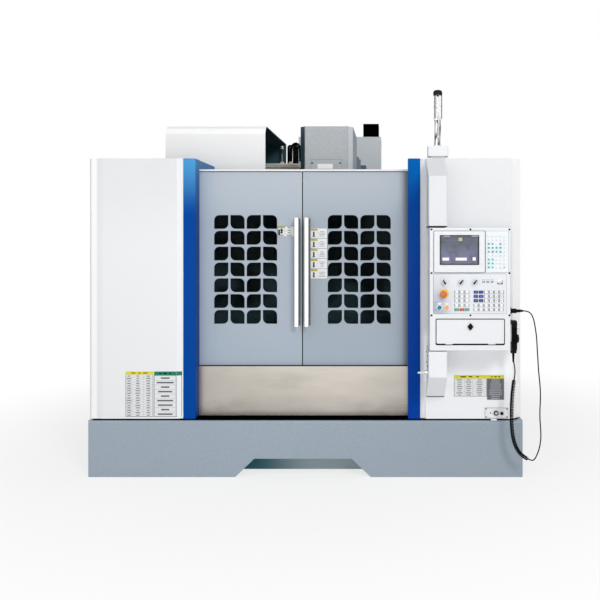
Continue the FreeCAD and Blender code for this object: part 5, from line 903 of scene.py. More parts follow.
cord_points = [(x, cord_y, z) for x, z in outer_route]
cord_points += curled(points_along([(x, cord_y, z) for x, z in coil_route]), curl_radius,
                      curl_count, curl_points, 2 * cord_radius)
cord_points += inner_route
pendant_cord = open_spline("pendant_cord", cord_points, cord_radius)
pendant_cord.data.materials.append(finish_of["cord_rubber"])
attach(pendant_cord, "control_box")
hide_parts("cord_outer_run", "cord_coil", "cord_inner_run")


# ---------------------------------------------------------------- control box
box_face = face_of("control_box_shell", "front")
box_side = face_at("right", 1.187)
keypad_face = face_of("mdi_keypad", "front", 0.0001)
panel_rise = 0.0069     # from the shell's front to the operator panel's
panel_face = face_of("control_box_shell", "front", panel_rise)
plug_place = (cord_y, 1.004)
pendant_y = -1.118
knob_z = 1.18
knob_places = {"mode_knob": 0.812, "feed_knob": 0.908, "speed_knob": 0.986}


def control_box_details():
    """Screws, display, seams with painted shadows in them, and the side socket of the control box.
    """
    left, middle, right = 0.741, 0.9605, 1.1805
    places = [(x, z, 0) for z in (1.4755, 0.9905) for x in (left, middle, right)]
    screw_row("box_screws", "control_box", box_face,
              places + [(left, 1.229, 0), (right, 1.229, 0)], 0.0056, 0.0026, black=True)
    # Painted shadow: dark strips in the seams round the display, keypad and panel.
    seam = Build("display_seam_shadow", "control_box", "rubber", "soft_ink", box_face)
    seam.border((0.7522, 1.2312), (1.0428, 1.4688), 0.005, 0, 0.0014, 0.008)
    seam.border((1.0402, 1.233), (1.1756, 1.467), 0.002, 0, 0.001, 0.004)
    seam.border((0.7505, 0.9995), (1.1655, 1.2255), 0.003, 0, 0.001, 0.006).done()
    # Painted shadow: a dark line in the gap between display and keypad.
    line = Build("keypad_gap_shadow", "control_box", "rubber", "ink", keypad_face)
    line.plate((1.043, 1.2345), (1.0456, 1.4655), SUNK, 0.0005).done()
    gap = Build("flap_seam", "control_box", "rubber", "ink", box_face)
    gap.border((0.7638, 0.8222), (1.1552, 0.9722), 0.0085, 0, 0.0012, 0.008).done()
    lip = Build("display_lip", "control_box", "bezel_white", "frame_plastic ink",
                face_of("display_bezel", "front"))
    lip.border((0.7825, 1.2715), (1.0125, 1.4475), 0.0035, -0.0005, 0.0017, 0.008)
    lip.border((0.7865, 1.2755), (1.0085, 1.4435), 0.0022, -0.006, 0.006, 0.004, 1).done()
    screen = Build("display_screen", "control_box", "window_glass",
                   "screen_glass key_white soft_ink paper_film cream_film",
                   face_of("display_bezel", "front", -0.006))
    screen.plate((0.7872, 1.2762), (1.0078, 1.4428), 0, 0.0012, 0.004)
    for x0, x1, z0, z1, finish in (
            (0.802, 0.8396, 1.3, 1.3166, 1), (0.876, 0.939, 1.3, 1.3166, 1),
            (0.972, 0.99, 1.3, 1.319, 1), (0.893, 0.914, 1.41, 1.429, 4),
            (0.8086, 0.8425, 1.4362, 1.4405, 3), (0.966, 1.004, 1.4362, 1.4405, 3),
            (0.789, 1.006, 1.4335, 1.435, 2), (0.789, 0.888, 1.4205, 1.422, 2),
            (0.92, 1.006, 1.4205, 1.422, 2), (0.789, 1.006, 1.2925, 1.2935, 2)):
        screen.plate((x0, z0), (x1, z1), 0.00095, 0.0004, 0.0008, finish=finish)
    screen.done()
    socket = Build("cord_socket", "control_box", "black_plastic", "black_plastic", box_side)
    socket.plate((-1.136, 0.962), (-1.074, 1.034), 0, 0.013, 0.006, 0.003)
    socket.turned(plug_place, [(0.021, 0.012), (0.021, 0.022), (0.019, 0.024)]).done()
    back = Build("box_rear_cover", "control_box", "white_paint", "bracket_paint",
                 face_of("control_box_shell", "back"))
    thick = 0.0016
    back.plate((-1.165, 0.83), (-0.86, 1.45), 0, thick, 0.006, 0.0006).done()
    screw_row("box_rear_screws", "control_box", face_of("control_box_shell", "back", thick),
              grid_places((-1.153, 0.842), 3, 4, 0.1405, 0.1985))


def keypad_details():
    """Key caps and generic dashes on the data keypad."""
    places = grid_places((1.063, 1.262), 5, 9, 0.022, 0.022)
    key_caps("keypad_caps", "key_grey", "key_white", keypad_face, places, 0.0146, 0.0146,
             0.0014, 0.88)
    low_left = [p for k, p in enumerate(places) if k % 5 < 2 and k < 15]
    middle = [p for k, p in enumerate(places) if k % 5 < 4 and 20 <= k < 30]
    middle += [places[4], places[30], places[31], places[33]]
    others = [p for p in places if p not in low_left and p not in middle]
    key_caps("keypad_blue_fields", "key_grey", "cyan_film", face_of("mdi_keypad", "front", 0.0014),
             low_left + middle[:8] + middle[9:], 0.0128, 0.0118, 0.0003, 0.98)
    mark_face = face_of("mdi_keypad", "front", 0.0016)
    for name, finish, marks, width, depth, seed in (
            ("keypad_blue_marks", "cyan_ink", low_left, 0.0105, 0.006, 3),
            ("keypad_dark_marks", "dark_cyan_ink", middle, 0.0105, 0.0056, 5),
            ("keypad_grey_marks", "pale_grey_film", others, 0.008, 0.004, 8)):
        printed(name, "control_box", "key_grey", finish, mark_face, marks, width, depth, 0.00025,
                seed)


def panel_details():
    """Keys, lamps, lock and dial marks of the operator panel."""
    left_x, right_x, key_rise = 0.8825, 0.9905, 0.0026
    high_left, high_right, low_left, low_right = [
        grid_places((x, z), across, up, 0.029, 0.024)
        for z, up in ((1.0745, 3), (1.0235, 2)) for x, across in ((left_x, 3), (right_x, 6))]
    blue = [p for k, p in enumerate(high_right) if k % 6 < 2]
    white = high_left + [p for k, p in enumerate(high_right) if k % 6 > 1]
    for name, places, depth in (("key_frames", high_left + high_right, 0.0172),
                                ("low_key_frames", low_left + low_right, 0.0152)):
        key_caps(name, "motor_black", "soft_ink", panel_face, places, 0.0252, depth, 0.0006, 0.98)
    for name, finish, places, depth in (
            ("white_keys", "key_white", white, 0.016), ("blue_keys", "key_blue", blue, 0.016),
            ("low_white_keys", "key_white", low_left[3:] + low_right, 0.0145),
            ("green_keys", "key_green", [low_left[0], low_left[2]], 0.0145),
            ("red_keys", "key_red", [low_left[1]], 0.0145)):
        key_caps(name, "key_grey", finish, panel_face, places, 0.0184, depth, key_rise, 0.86)
    key_top = face_of("control_box_shell", "front", panel_rise + key_rise)
    printed("key_marks", "control_box", "motor_black", "pale_grey_film", key_top,
            [p for k, p in enumerate(high_right) if k % 6 > 2], 0.008, 0.004, 0.00022, 5)
    printed("blue_key_marks", "control_box", "key_grey", "paper_film", key_top, blue, 0.009,
            0.0016, 0.00022, 6)
    lamps = [(x + dx, knob_z, 0) for x in (1.03, 1.054, 1.078) for dx in (0, 0.008)]
    key_caps("lamp_windows", "motor_black", "grey_film",
             face_of("control_box_shell", "front", panel_rise + 0.0001), lamps, 0.0058, 0.0085,
             0.001, 0.9)
    trim = Build("panel_trim", "control_box", "panel_lilac",
                 "yellow_film key_white soft_ink lever_chrome ink grey_film",
                 face_of("control_box_shell", "front", 0.004))
    trim.collar((0.8115, 1.114), 0.0255, 0.017, 0, 0.00655, 48)
    for x in (0.785, 0.826):
        trim.collar((x, 1.035), 0.0172, 0.0124, 0, 0.0066, finish=1)
        trim.plate((x - 0.008, 1.0535), (x + 0.01, 1.0615), SUNK, 0.0005, 0.001, finish=1)
    lock = (1.125, 1.184)
    trim.collar(lock, 0.0135, 0.01, 0, 0.0062, finish=1)
    trim.turned(lock, [(0.008, 0.006), (0.008, 0.0088), (0.007, 0.0094)], finish=3)
    trim.patch(lock, (0.001, 0.005), 0.009, 0.0006, 0.0005, 4)
    trim.plate((1.112, 1.166), (1.1425, 1.189), SUNK, 0.0012, 0.003, finish=5)
    for x in (1.034, 1.058, 1.082):
        trim.patch((x, 1.1915), (0.008, 0.001), SUNK, 0.0004, finish=2)
    for x in knob_places.values():
        for mark in arc((x, knob_z), 0.0258, range(210, -31, -24)):
            trim.patch(mark, (0.0009, 0.0009), SUNK, 0.0005, 0.0004, 2)
    trim.done()


def flap_details():
    """A diamond plate round the flap's latch."""
    spin = (Matrix.Translation((0.9595, 0.927, 0)) @ Matrix.Diagonal((1, 1.22, 1, 1))
            @ Matrix.Rotation(math.radians(45), 4, "Z"))
    wide = box_outline((-0.0125, -0.0125), (0.0125, 0.0125), 0.003)
    slim = box_outline((-0.011, -0.011), (0.011, 0.011), 0.002)
    plate = Build("latch_plate", "flap_body", "black_plastic", "black_plastic",
                  face_of("flap", "front") @ spin)
    plate.rings([(wide, 0), (wide, 0.0016), (slim, 0.0022)]).done()


def knob_grips():
    """A black grip with a white line on each selector knob."""
    wide = box_outline((-0.0048, -0.015), (0.0048, 0.015), 0.0046)
    slim = box_outline((-0.003, -0.0135), (0.003, 0.0135), 0.0029)
    for (name, x), turn in zip(knob_places.items(), (28, -42, -42)):
        face = (face_of(name, "front", -0.0019) @ Matrix.Translation((x, knob_z, 0))
                @ Matrix.Rotation(math.radians(turn), 4, "Z"))
        grip = Build(name + "_grip", name + "_body", "black_plastic",
                     "black_plastic key_white", face)
        grip.rings([(wide, 0), (wide, 0.0015), (slim, 0.0062), (slim, 0.0072)])
        grip.plate((-0.0008, 0.002), (0.0008, 0.0125), 0.0071, 0.0003, finish=1).done()


def pendant_details():
    """Screws, scale ring, grip ribs and pointer lines of the pendant."""
    face = face_of("pendant", "right", 0.0002)
    dial = (pendant_y, 0.845)
    screw_row("pendant_screws", "control_box", face,
              spots((pendant_y - 0.036, pendant_y + 0.036), (0.806, 0.936)), 0.003, 0.0014)
    ring = Build("dial_scale", "control_box", "aluminium", "knob_metal ink paper_film", face)
    ring.collar(dial, 0.037, 0.0296, -0.0005, 0.0013, 60)
    for k in range(50):
        for radius in (0.0345 if k % 5 else 0.033, 0.0358):
            ring.patch(*arc(dial, radius, [360 * k / 50]), (0.0004, 0.0004), 0.0006, 0.0004,
                       finish=1)
    ring.plate((pendant_y - 0.02, 0.8055), (pendant_y + 0.02, 0.81), SUNK, 0.0006, 0.001,
               finish=2)
    ring.done()
    for side, across in (("front", 1.221), ("back", -1.221)):
        places = [(across, 0.822 + 0.008 * k, 0) for k in range(12)]
        slats.grow("pendant_ribs_" + side, "control_box", "black_plastic", "seal_rubber",
                   face_of("pendant", side), places, Length=0.026, Width=0.0036, Thick=0.0024,
                   Tip=0.0)
    for name, y in (("pendant_axis_knob", -0.02), ("pendant_step_knob", 0.02)):
        knob = Build(name + "_line", name + "_body", "black_plastic", "ink",
                     face_of(name, "right"))
        knob.patch((pendant_y + y, 0.9155), (0.0007, 0.003), SUNK, 0.0006).done()
    relief = Build("cord_relief", "control_box", "cord_black", "cord_rubber",
                   face_at("top", 0.7065))
    relief.turned((1.221, pendant_y), [(0.0046, 0), (0.005, 0.001), (0.0068, 0.038),
                                       (0.0074, 0.0415), (0.0074, 0.046)], 20).done()


def plug_details():
    """Coupling rings and a tapered boot on the cord plug."""
    boot = Build("plug_rings", "control_box", "black_plastic", "black_plastic", box_side)
    for start in (0.03, 0.038, 0.046):
        boot.turned(plug_place, [(0.0128, start), (0.0142, start + 0.001),
                                 (0.0142, start + 0.004), (0.0128, start + 0.005)], 24)
    boot.turned(plug_place, [(0.01, 0.058), (0.0092, 0.06), (0.0064, 0.086), (0.005, 0.0925),
                             (0.0046, 0.0925)], 24)
    for start in (0.064, 0.071, 0.078):
        radius = 0.0092 - (start - 0.06) * 0.107
        boot.turned(plug_place, [
            (radius, start), (radius + 0.0012, start + 0.001), (radius + 0.0012, start + 0.003),
            (radius - 0.0003, start + 0.004)], 24)
    boot.done()


# ---------------------------------------------------------------- charts and plates
door_face = face_of("left_door_panel", "front")
SHEET_TOP = 0.0006      # marks start just under the top of the 0.0007 sheet they are on


def chart(name, face, low, high, header, header_finish, shares, rows, seed, body="frame",
          ground="paper_film", mark="soft_ink"):
    """A blank table: a ground, a coloured heading, ruled lines and dashes for the entries."""
    sheet = Build(name, body, "white_paint", " ".join((ground, header_finish, mark, "ink")),
                  face)
    sheet.plate(low, high, 0, 0.0007, 0.002)
    sheet.border(low, high, 0.0016, SHEET_TOP, 0.0002, finish=3)
    sheet.plate((low[0], high[1] - header), high, SHEET_TOP, 0.0003, 0.001, finish=1)
    x0, x1 = low[0] + 0.002, high[0] - 0.002
    z0, z1 = low[1] + 0.002, high[1] - header - 0.002
    wide, tall = x1 - x0, z1 - z0
    line = 0.0004
    for k in range(rows + 1):
        z = z0 + tall * k / rows
        sheet.plate((x0, z - line), (x1, z + line), SHEET_TOP, 0.0002, finish=2)
    for share in shares:
        x = x0 + wide * share
        sheet.plate((x - line, z0), (x + line, z1), SHEET_TOP, 0.0002, finish=2)
    sheet.done(None)
    columns = list(zip(shares, shares[1:]))
    places = [(x0 + wide * (a + b) / 2, z0 + tall * (k + 0.5) / rows, SHEET_TOP)
              for a, b in columns for k in range(rows)]
    printed(name + "_entries", body, "white_paint", mark, face, places,
            wide * min(b - a for a, b in columns) * 0.8, tall / rows * 0.34, 0.0003, seed)
    if header:
        wide = high[0] - low[0]
        places = [(low[0] + wide * share, high[1] - header / 2, 0.0009)
                  for share in (0.28, 0.5, 0.72)]
        printed(name + "_heading", body, "white_paint", "ink", face, places, wide * 0.18,
                header * 0.3, 0.0002, seed + 1)


def blank_plates():
    """Generic blank tables where the machine carries its printed plates."""
    panel = face_of("left_enclosure", "front")
    low, high, heading = 0.357, 0.628, 0.024
    chart("left_table", panel, (-1.078, low), (-0.913, high), 0.018, "lime_film",
          (0, 0.22, 0.66, 1), 17, 2)
    chart("right_table", panel, (-0.908, low), (-0.7745, high), heading, "green_film",
          (0, 1), 9, 4)
    edge = Build("right_table_edge", "frame", "white_paint",
                 "paper_film green_film soft_ink ink",
                 facing((0.2169, -0.9762, 0), (0, 0, 1), (-0.774, -0.98, 0)))
    edge.plate((0.0002, low), (0.0325, high), 0, 0.0007, 0.001)
    edge.plate((0.0002, high - heading), (0.0325, high), SHEET_TOP, 0.0003, finish=1)
    edge.plate((0.0286, low), (0.0304, high), SHEET_TOP, 0.0004, finish=3)
    edge.plate((0.0002, low), (0.0325, low + 0.0016), SHEET_TOP, 0.0002, finish=3)
    for k in range(9):
        z = low + 0.002 + 0.027 * k
        edge.plate((0.0002, z - 0.0004), (0.03, z + 0.0004), SHEET_TOP, 0.0002, finish=2)
    edge.done(None)
    chart("oil_table", panel, (0.8895, 0.479), (1.0865, 0.607), 0.021, "lime_film",
          (0, 0.32, 0.56, 1), 8, 5)
    chart("grey_table", panel, (1.0875, 0.459), (1.189, 0.607), 0.021, "lime_film", (0, 1), 10,
          7, ground="grey_film", mark="pale_grey_film")
    chart("left_door_plate", door_face, (-0.184, 1.435), (-0.082, 1.501), 0, "paper_film",
          (0, 0.42, 1), 4, 9, body="left_door")
    tab = Build("left_door_tab", "left_door", "white_paint", "mustard_film ink",
                face_of("left_door_panel", "front", 0.0007))
    tab.plate((-0.1825, 1.4895), (-0.14, 1.5), 0, 0.0004, 0.001)
    tab.plate((-0.184, 1.435), (-0.082, 1.4366), 0, 0.0004, finish=1)
    tab.plate((-0.18, 1.444), (-0.169, 1.48), 0, 0.0005, finish=1)
    tab.plate((-0.164, 1.456), (-0.154, 1.486), 0, 0.0005, finish=1).done(None)
    column = Build("right_door_plates", "right_door", "white_paint",
                   "paper_film mustard_film soft_ink ink", door_face)
    pitch = 0.0622
    feet = [1.178 + pitch * k for k in range(5)]
    for z in feet:
        top = z + pitch
        column.plate((0.019, z), (0.118, top - 0.002), 0, 0.0007, 0.002)
        column.plate((0.02, top - 0.0155), (0.06, top - 0.004), SHEET_TOP, 0.0003, 0.001, finish=1)
        column.plate((0.019, z), (0.118, z + 0.0012), SHEET_TOP, 0.0002, finish=2)
        column.plate((0.0625, z + 0.004), (0.0631, top - 0.006), SHEET_TOP, 0.0002, finish=2)
        column.plate((0.03, z + 0.009), (0.047, z + 0.013), SHEET_TOP, 0.0002, finish=3)
        column.plate((0.034, z + 0.012), (0.043, top - 0.022), SHEET_TOP, 0.0003, finish=3)
    column.done(None)
    printed("right_door_entries", "right_door", "white_paint", "soft_ink", door_face,
            [(0.089, z + 0.014 + 0.009 * j, 0.0007) for z in feet for j in range(4)],
            0.044, 0.0026, 0.0003, 12)


def enclosure_details():
    """Trim, painted shadows in the gaps above the tank and the apron, the painted light and shade
    of the toe recess, service plate fittings and side screws of the enclosure.
    """
    corner = Build("left_corner_bend", "frame", "white_paint", "white_paint",
                   face_of("base_seal", "top", 0.0005))
    side, front, bend, skin = -1.2973, -0.9803, 0.02, 0.0008
    outline = [(-1.2065, front), (-1.2065, front + skin)]
    outline += arc((-1.207, -0.89), 0.0895, range(262, 180, -9))
    outline += [(side + skin, -0.8895), (side, -0.8895)]
    outline += arc((side + bend, front + bend), bend, range(180, 271, 10))
    corner.rings([(outline, 0), (outline, 1.559)]).done(25)
    # A rubber lip widened into a black strip that paints the shadow in the gap above the tank.
    lip = Build("seal_and_gap_shadow_lip", "frame", "rubber", "seal_rubber",
                face_of("coolant_tank", "top", 0.0002))
    lip.plate((-1.275, -0.9795), (1.25, -0.957), 0, 0.0084, 0.001).done(None)
    # A thin sheet on the back wall of the toe recess that carries its painted light and shade.
    toe = Build("toe_shade_sheet", "frame", "tank_paint", "toe_paint", face_at("front", 0.8452))
    slope = [(0.389, 0.001), (0.3022, 0.083), (0.2765, 0.1085), (-0.3045, 0.1085),
             (-0.3302, 0.083), (-0.417, 0.001)]
    toe.rings([(slope, 0), (slope, 0.002)]).done(None)
    # Painted shadow: a black strip on the apron's top for the shadow in the gap above it.
    gap_shadow_strip = Build("apron_gap_shadow_strip", "frame", "rubber", "seal_rubber",
                  face_of("front_apron", "top", -0.0005))
    gap_shadow_strip.plate((-0.659, -0.8985), (0.612, -0.888), 0, 0.005, 0.001).done(None)
    plate_face = face_of("right_enclosure", "front", 0.002)
    screw_row("service_screws", "frame", plate_face, spots((1.0815, 1.2065), (0.356, 0.404)),
              0.004, 0.0018, black=True)
    rim = Build("service_rim", "frame", "chrome", "soft_ink black_plastic lever_chrome",
                plate_face)
    rim.border((1.074, 0.349), (1.214, 0.411), 0.0016, -0.0018, 0.0022, 0.003)
    button_place = (1.141, 0.38)
    rim.turned((1.1085, 0.38), [(0.0038, SUNK), (0.0038, 0.0004)], 20, 1)
    rim.collar(button_place, 0.014, 0.0086, 0, 0.0092, finish=1)
    rim.turned(button_place, [(0.005, 0), (0.005, 0.006), (0.0042, 0.0066)], 24, 2)
    rim.turned((1.174, 0.38), [(0.0096, 0.01), (0.0098, 0.012), (0.0098, 0.0172),
                               (0.0085, 0.019)], finish=1).done()
    latch = Build("seal_latch", "frame", "chrome", "lever_chrome",
                  face_of("coolant_tank", "front"))
    latch.plate((1.108, 0.3365), (1.144, 0.35), -0.014, 0.017, 0.003, 0.0015).done()
    for side, sign in (("left", -1), ("right", 1)):
        screw_row(side + "_side_screws", "frame", face_of(side + "_enclosure", side),
                  spots([sign * y for y in (-0.86, -0.36, 0.14, 0.64)],
                        (0.42, 0.9, 1.38, 1.86)), 0.005, 0.0024)


def tank_details():
    """Drain plug and level gauge on the right side of the coolant tank."""
    side = face_of("coolant_tank", "right")
    drain = Build("tank_drain", "frame", "chrome", "lever_chrome screw_steel", side)
    drain.turned((0.48, 0.055), [(0.024, 0), (0.024, 0.004), (0.018, 0.005)], 6)
    drain.turned((0.48, 0.055), [(0.017, 0.004), (0.017, 0.009), (0.015, 0.0095)], 6, 1).done()
    gauge = Build("tank_gauge", "frame", "lamp_clear", "screw_steel lens_clear lime_film", side)
    gauge.plate((-0.36, 0.1), (-0.32, 0.24), 0, 0.004, 0.006, 0.001)
    gauge.plate((-0.349, 0.115), (-0.331, 0.225), 0.0035, 0.0045, 0.006, 0.0015, 1)
    gauge.plate((-0.344, 0.12), (-0.336, 0.17), 0.0036, 0.0012, 0.003, finish=2).done()


# ---------------------------------------------------------------- top of the machine
def stack_light_details():
    """Core, tie rods, tiers and cap of the stack light, and the screws of its foot."""
    centre = (0.797, -0.9)
    foot = face_of("stack_light_base", "top")
    core = Build("lamp_core", "frame", "motor_black", "ink lever_chrome", foot)
    core.turned(centre, [(0.0055, 0.002), (0.0055, 0.14), (0.003, 0.146)], 12, 1)
    for place, radius in zip(arc(centre, 0.0296, (-128, -38, 90)), (0.0034, 0.0024, 0.0024)):
        core.turned(place, [(radius, 0.001), (radius, 0.146)], 12)
    core.done()
    rings = Build("lamp_tiers", "frame", "motor_black", "ink lever_chrome", foot)
    for height in (0, 0.072):
        rings.collar(centre, 0.0276, 0.0236, height, 0.0022, finish=1)
    rings.turned(centre, [(0.0272, 0.1445), (0.028, 0.146), (0.028, 0.156), (0.0245, 0.169),
                          (0.012, 0.1735)], 40)
    rings.collar(centre, 0.024, 0.0202, -0.012, 0.011, finish=1)
    rings.collar(centre, 0.029, 0.0202, -0.172, 0.006, finish=1).done()
    screw_row("lamp_foot_screws", "frame", face_of("stack_light_base", "top", -0.173),
              spots((0.749, 0.845), (-0.932, -0.868)))


def magazine_details():
    """Dark sheets inside the magazine cover that paint its shade, the lever and hoses beside it
    and its screws.
    """
    x0, x1, z0, z1 = -0.985, -0.3245, 1.4305, 2.178
    front, back = -0.518, 0.4125
    gap, thick, bend = 0.0006, 0.003, 0.068
    outer = [(front + gap, z0), (front + gap, z1 - bend)]
    outer += arc((front + bend, z1 - bend), bend - gap, range(165, 89, -15))
    outer += [(back - gap, z1 - gap), (back - gap, z0)]
    middle = (front + back) / 2
    inner = [(y + math.copysign(thick, middle - y), z - (thick if z > z0 + 0.1 else 0))
             for y, z in outer]
    # Painted shade: dark sheets inside the cover's top, front, back and side.
    lining = Build("magazine_shade_lining", "frame", "rubber", "lining_foam")
    for a in range(len(outer) - 1):
        low, high = [[lining.shape.verts.new((x, *point)) for point in
                      (outer[a], outer[a + 1], inner[a + 1], inner[a])] for x in (x0 + gap, x1)]
        lining.walls([low, high])
        lining.shape.faces.new(low)
        lining.shape.faces.new(high)
    lining.done(None)
    side = Build("magazine_side_shade_lining", "frame", "rubber", "lining_foam",
                 face_at("right", x0 + gap))
    side.plate((front + 0.004, z0), (back - 0.004, z1 - 0.075), 0, thick)
    side.plate((front + 0.06, z1 - 0.076), (back - 0.004, z1 - 0.004), 0, thick).done(None)
    ball = Build("lever_ball", "frame", "chrome", "lever_chrome", face_at("top", 2.018))
    stem = [(0.0164, 0.0135), (0.0164, 0.0148), (0.0066, 0.0152), (0.0066, 0.1165)]
    ball.turned((-0.35, 0.36), stem + arc((0, 0.128), 0.0126, range(-54, 90, 12)), 24).done()
    for name, x, spread, top, y in (("inner_hose", -0.242, 0.013, 2.148, 0.36),
                                    ("outer_hose", -0.272, 0.03, 2.162, 0.388)):
        rise = [(-1, z) for z in (2.019, 2.08, top - 0.016, top)]
        route = rise + [(0, top)] + [(1, z) for _, z in reversed(rise)]
        hose.grow(name, "frame", "black_plastic", "hose_plastic", face_at("front", 0),
                  [(x + side * spread, z, -y) for side, z in route], Radius=0.0112, Pitch=0.008)
    screw_row("cover_top_screws", "frame", face_of("magazine_cover", "top"),
              spots((-0.93, -0.65, -0.38), (-0.4, 0.36)), 0.005, 0.0024)
    screw_row("cover_side_screws", "frame", face_of("magazine_cover", "left"),
              spots((0.44, 0.02, -0.36), (1.96, 2.12)), 0.005, 0.0024)


def head_details():
    """Screws, seams and a blank plate on the spindle head cover."""
    face = face_of("head_cover", "front")
    for name, z in (("head_cover_screws", 1.936), ("head_cover_low_screws", 1.7)):
        screw_row(name, "head_body", face, spots((-0.0216, 0.1688), (z,)), 0.006, 0.003,
                  black=True)
    plate = Build("head_plate", "head_body", "white_paint", "lit_white soft_ink", face)
    plate.plate((0.015, 1.896), (0.118, 1.93), 0, 0.002, 0.003, 0.0005)
    plate.plate((-0.03, 1.959), (0.181, 1.9605), SUNK, 0.0006, finish=1)
    for x in (-0.03, 0.1796):
        plate.plate((x, 1.68), (x + 0.0014, 1.959), SUNK, 0.0006, finish=1)
    plate.done()


def cabinet_details():
    """Louvres, hinges and screws of the electrical cabinet, and its fan guard."""
    face = face_of("cabinet_door", "back")
    for name, low in (("upper", 1.86), ("lower", 0.26)):
        slats.grow("cabinet_%s_louvres" % name, "cabinet_door_body", "cover_paint",
                   "cover_paint", face, [(-0.0625, low + 0.026 * k, 0.004) for k in range(9)],
                   Length=0.34, Width=0.02, Thick=0.0022, Tip=0.5)
        rim = Build("cabinet_%s_vent" % name, "cabinet_door_body", "motor_black",
                    "lining_foam cover_paint", face)
        rim.plate((-0.24, low - 0.018), (0.115, low + 0.228), 0, 0.0012, 0.004)
        rim.border((-0.244, low - 0.022), (0.119, low + 0.232), 0.006, 0, 0.006, 0.006, 1)
        rim.done()
    hinges = Build("cabinet_hinges", "frame", "chrome", "lever_chrome",
                   face_of("electrical_cabinet", "left"))
    for z in (0.3, 1.2, 2.1):
        hinges.turned((-1.223, z), [(0.006, -0.004), (0.006, 0.004), (0.005, 0.005)], 16)
    hinges.done()
    fan_face = face_of("cabinet_fan", "back")
    x, z = -0.335, 2.3695
    hoops.grow("fan_guard", "frame", "chrome", "screw_steel", fan_face, [(x, z, 0.004)],
               Count=6, Step=0.0085, Wire=0.0011)
    slats.grow("fan_guard_bar", "frame", "chrome", "screw_steel", fan_face, [(x, z, 0.005)],
               Length=0.104, Width=0.003, Thick=0.0018, Tip=0.0)
    screw_row("fan_screws", "frame", fan_face,
              spots((x - 0.052, x + 0.052), (z - 0.047, z + 0.047)), 0.0035)
    screw_row("cabinet_side_screws", "frame", face_of("electrical_cabinet", "right"),
              spots((0.9, 1.18), (0.15, 0.9, 1.6, 2.26)), 0.005)


def door_details():
    """Pads of the door handles with painted shadows behind them, the seals of the door edges and
    painted shadows along the door tops.
    """
    for side, x, seal_x, span in (("left", -0.061, (-0.034, -0.0318), (-0.69, -0.036)),
                                  ("right", 0, (-0.0302, -0.028), (-0.026, 0.643))):
        body = side + "_door"
        pads = Build(side + "_handle_ends", body, "aluminium", "handle_metal",
                     face_of(side + "_door_handle", "top"))
        pads.plate((x - 0.014, -0.937), (x + 0.014, -0.915), 0, 0.002, 0.004, 0.001).done()
        # Painted shadow: a dark strip on the door behind each handle.
        back = Build(side + "_handle_shadow", body, "aluminium", "soft_ink", door_face)
        back.plate((x - 0.0235, 0.893), (x + 0.0175, 1.547), SUNK, 0.0014, 0.003).done(None)
        seal = Build(side + "_door_edge_seal", body, "rubber", "seal_rubber", door_face)
        seal.plate((seal_x[0], 0.63), (seal_x[1], 1.77), -0.02, 0.018)
        # Painted shadow: a dark strip along the door's top under the rail.
        seal.plate((span[0], 1.833), (span[1], 1.8385), -0.001, 0.0014).done(None)


def bracket_details():
    """Screws of the control bracket, and a black disc that paints the shadow in the gap between
    bracket and box.
    """
    screw_row("bracket_screws", "frame", face_of("control_bracket", "left"),
              spots((1.15, 1), (0.75, 0.69)), 0.005, 0.0026, black=True)
    # Painted shadow: a black disc on the box's top, in the gap under the bracket.
    gap = Build("swivel_gap_shadow", "frame", "rubber", "ink",
                face_of("control_box_shell", "top", 0.0003))
    gap.turned((0.78, cord_y), [(0.046, 0), (0.046, 0.0044)], 40).done()


for details in (control_box_details, keypad_details, panel_details, flap_details, knob_grips,
                pendant_details, plug_details, blank_plates, enclosure_details, tank_details,
                stack_light_details, magazine_details, head_details, cabinet_details,
                door_details, bracket_details):
    details()


# ---------------------------------------------------------------- floor and light
def seen_rays(t):
    """1 for camera, glossy and transmission rays, 0 for the rays that light the machine."""
    rays = t.add("ShaderNodeLightPath").outputs
    seen = rays["Is Camera Ray"]
    for name in ("Is Glossy Ray", "Is Transmission Ray"):
        seen = t.math("MAXIMUM", seen, rays[name])
    return seen


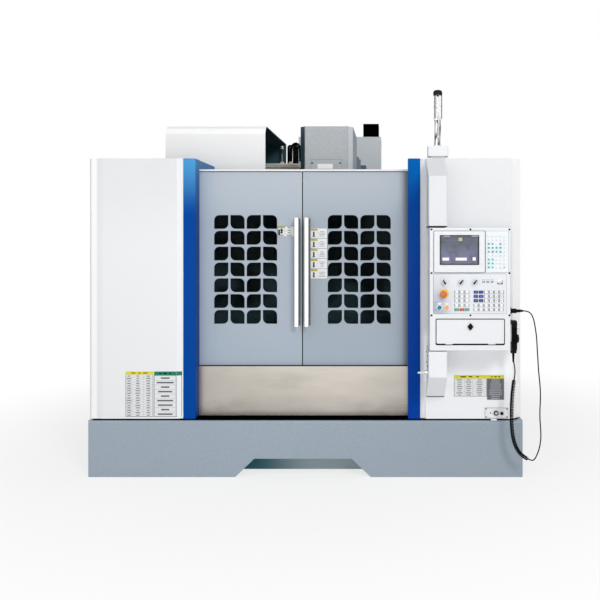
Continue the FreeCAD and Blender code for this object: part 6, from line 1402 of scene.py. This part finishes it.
def white_floor():
    """A flat white floor that keeps the machine's shadow and fades to plain white."""
    data = bpy.data.meshes.new("studio_floor")
    data.from_pydata([(-40, -40, 0), (40, -40, 0), (40, 60, 0), (-40, 60, 0)], [],
                     [(0, 1, 2, 3)])
    pale = bpy.data.materials.new("studio_white")
    pale.use_nodes = True
    t = Tree(pale.node_tree)
    shader = t.tree.nodes["Principled BSDF"]
    for name, value in (("Base Color", (0.92, 0.92, 0.92, 1)), ("Roughness", 0.9),
                        ("Specular IOR Level", 0)):
        t.feed(value, shader.inputs[name])
    place = t.add("ShaderNodeTexCoord").outputs["Object"]
    reach = t.add("ShaderNodeVectorMath", {0: place}, operation="LENGTH").outputs["Value"]
    share = t.math("MULTIPLY", t.span(reach, 1.3, 3.4, 0.72), seen_rays(t))
    glow = t.add("ShaderNodeEmission").outputs[0]
    mix = t.add("ShaderNodeMixShader", {0: share, 1: shader.outputs[0], 2: glow}).outputs[0]
    t.feed(mix, t.tree.nodes["Material Output"].inputs["Surface"])
    data.materials.append(pale)
    put("studio_floor", data)


def white_world(ambient):
    """Plain white where it is seen, and an even soft light of the given level."""
    scene.world = bpy.data.worlds.new("studio")
    scene.world.use_nodes = True
    t = Tree(scene.world.node_tree)
    level = t.add("ShaderNodeMapRange", {"To Min": ambient, "To Max": 1, "Value": seen_rays(t)})
    background = t.tree.nodes["Background"].inputs
    t.feed((1, 1, 1, 1), background["Color"])
    t.feed(level.outputs[0], background["Strength"])


def area_light(name, place, aim, size, power):
    data = bpy.data.lights.new(name, "AREA")
    data.shape = "RECTANGLE"
    data.size, data.size_y = size
    data.energy = power
    lamp = put(name, data)
    lamp.location = place
    lamp.rotation_euler = (Vector(aim) - Vector(place)).to_track_quat("-Z", "Y").to_euler()


white_floor()
white_world(0.38)
area_light("key_light", (3.6, -7.6, 5.4), (0.2, -0.9, 1), (2, 2), 255)
area_light("top_light", (0, -4.3, 5.2), (0, -0.8, 1.6), (4.5, 1.5), 42)
area_light("front_light", (-0.3, -7.2, 0.9), (-0.1, -1, 0.8), (4.5, 1.4), 55)
area_light("fill_light", (-5, -6, 3), (-0.2, -0.8, 1), (3.5, 3), 40)
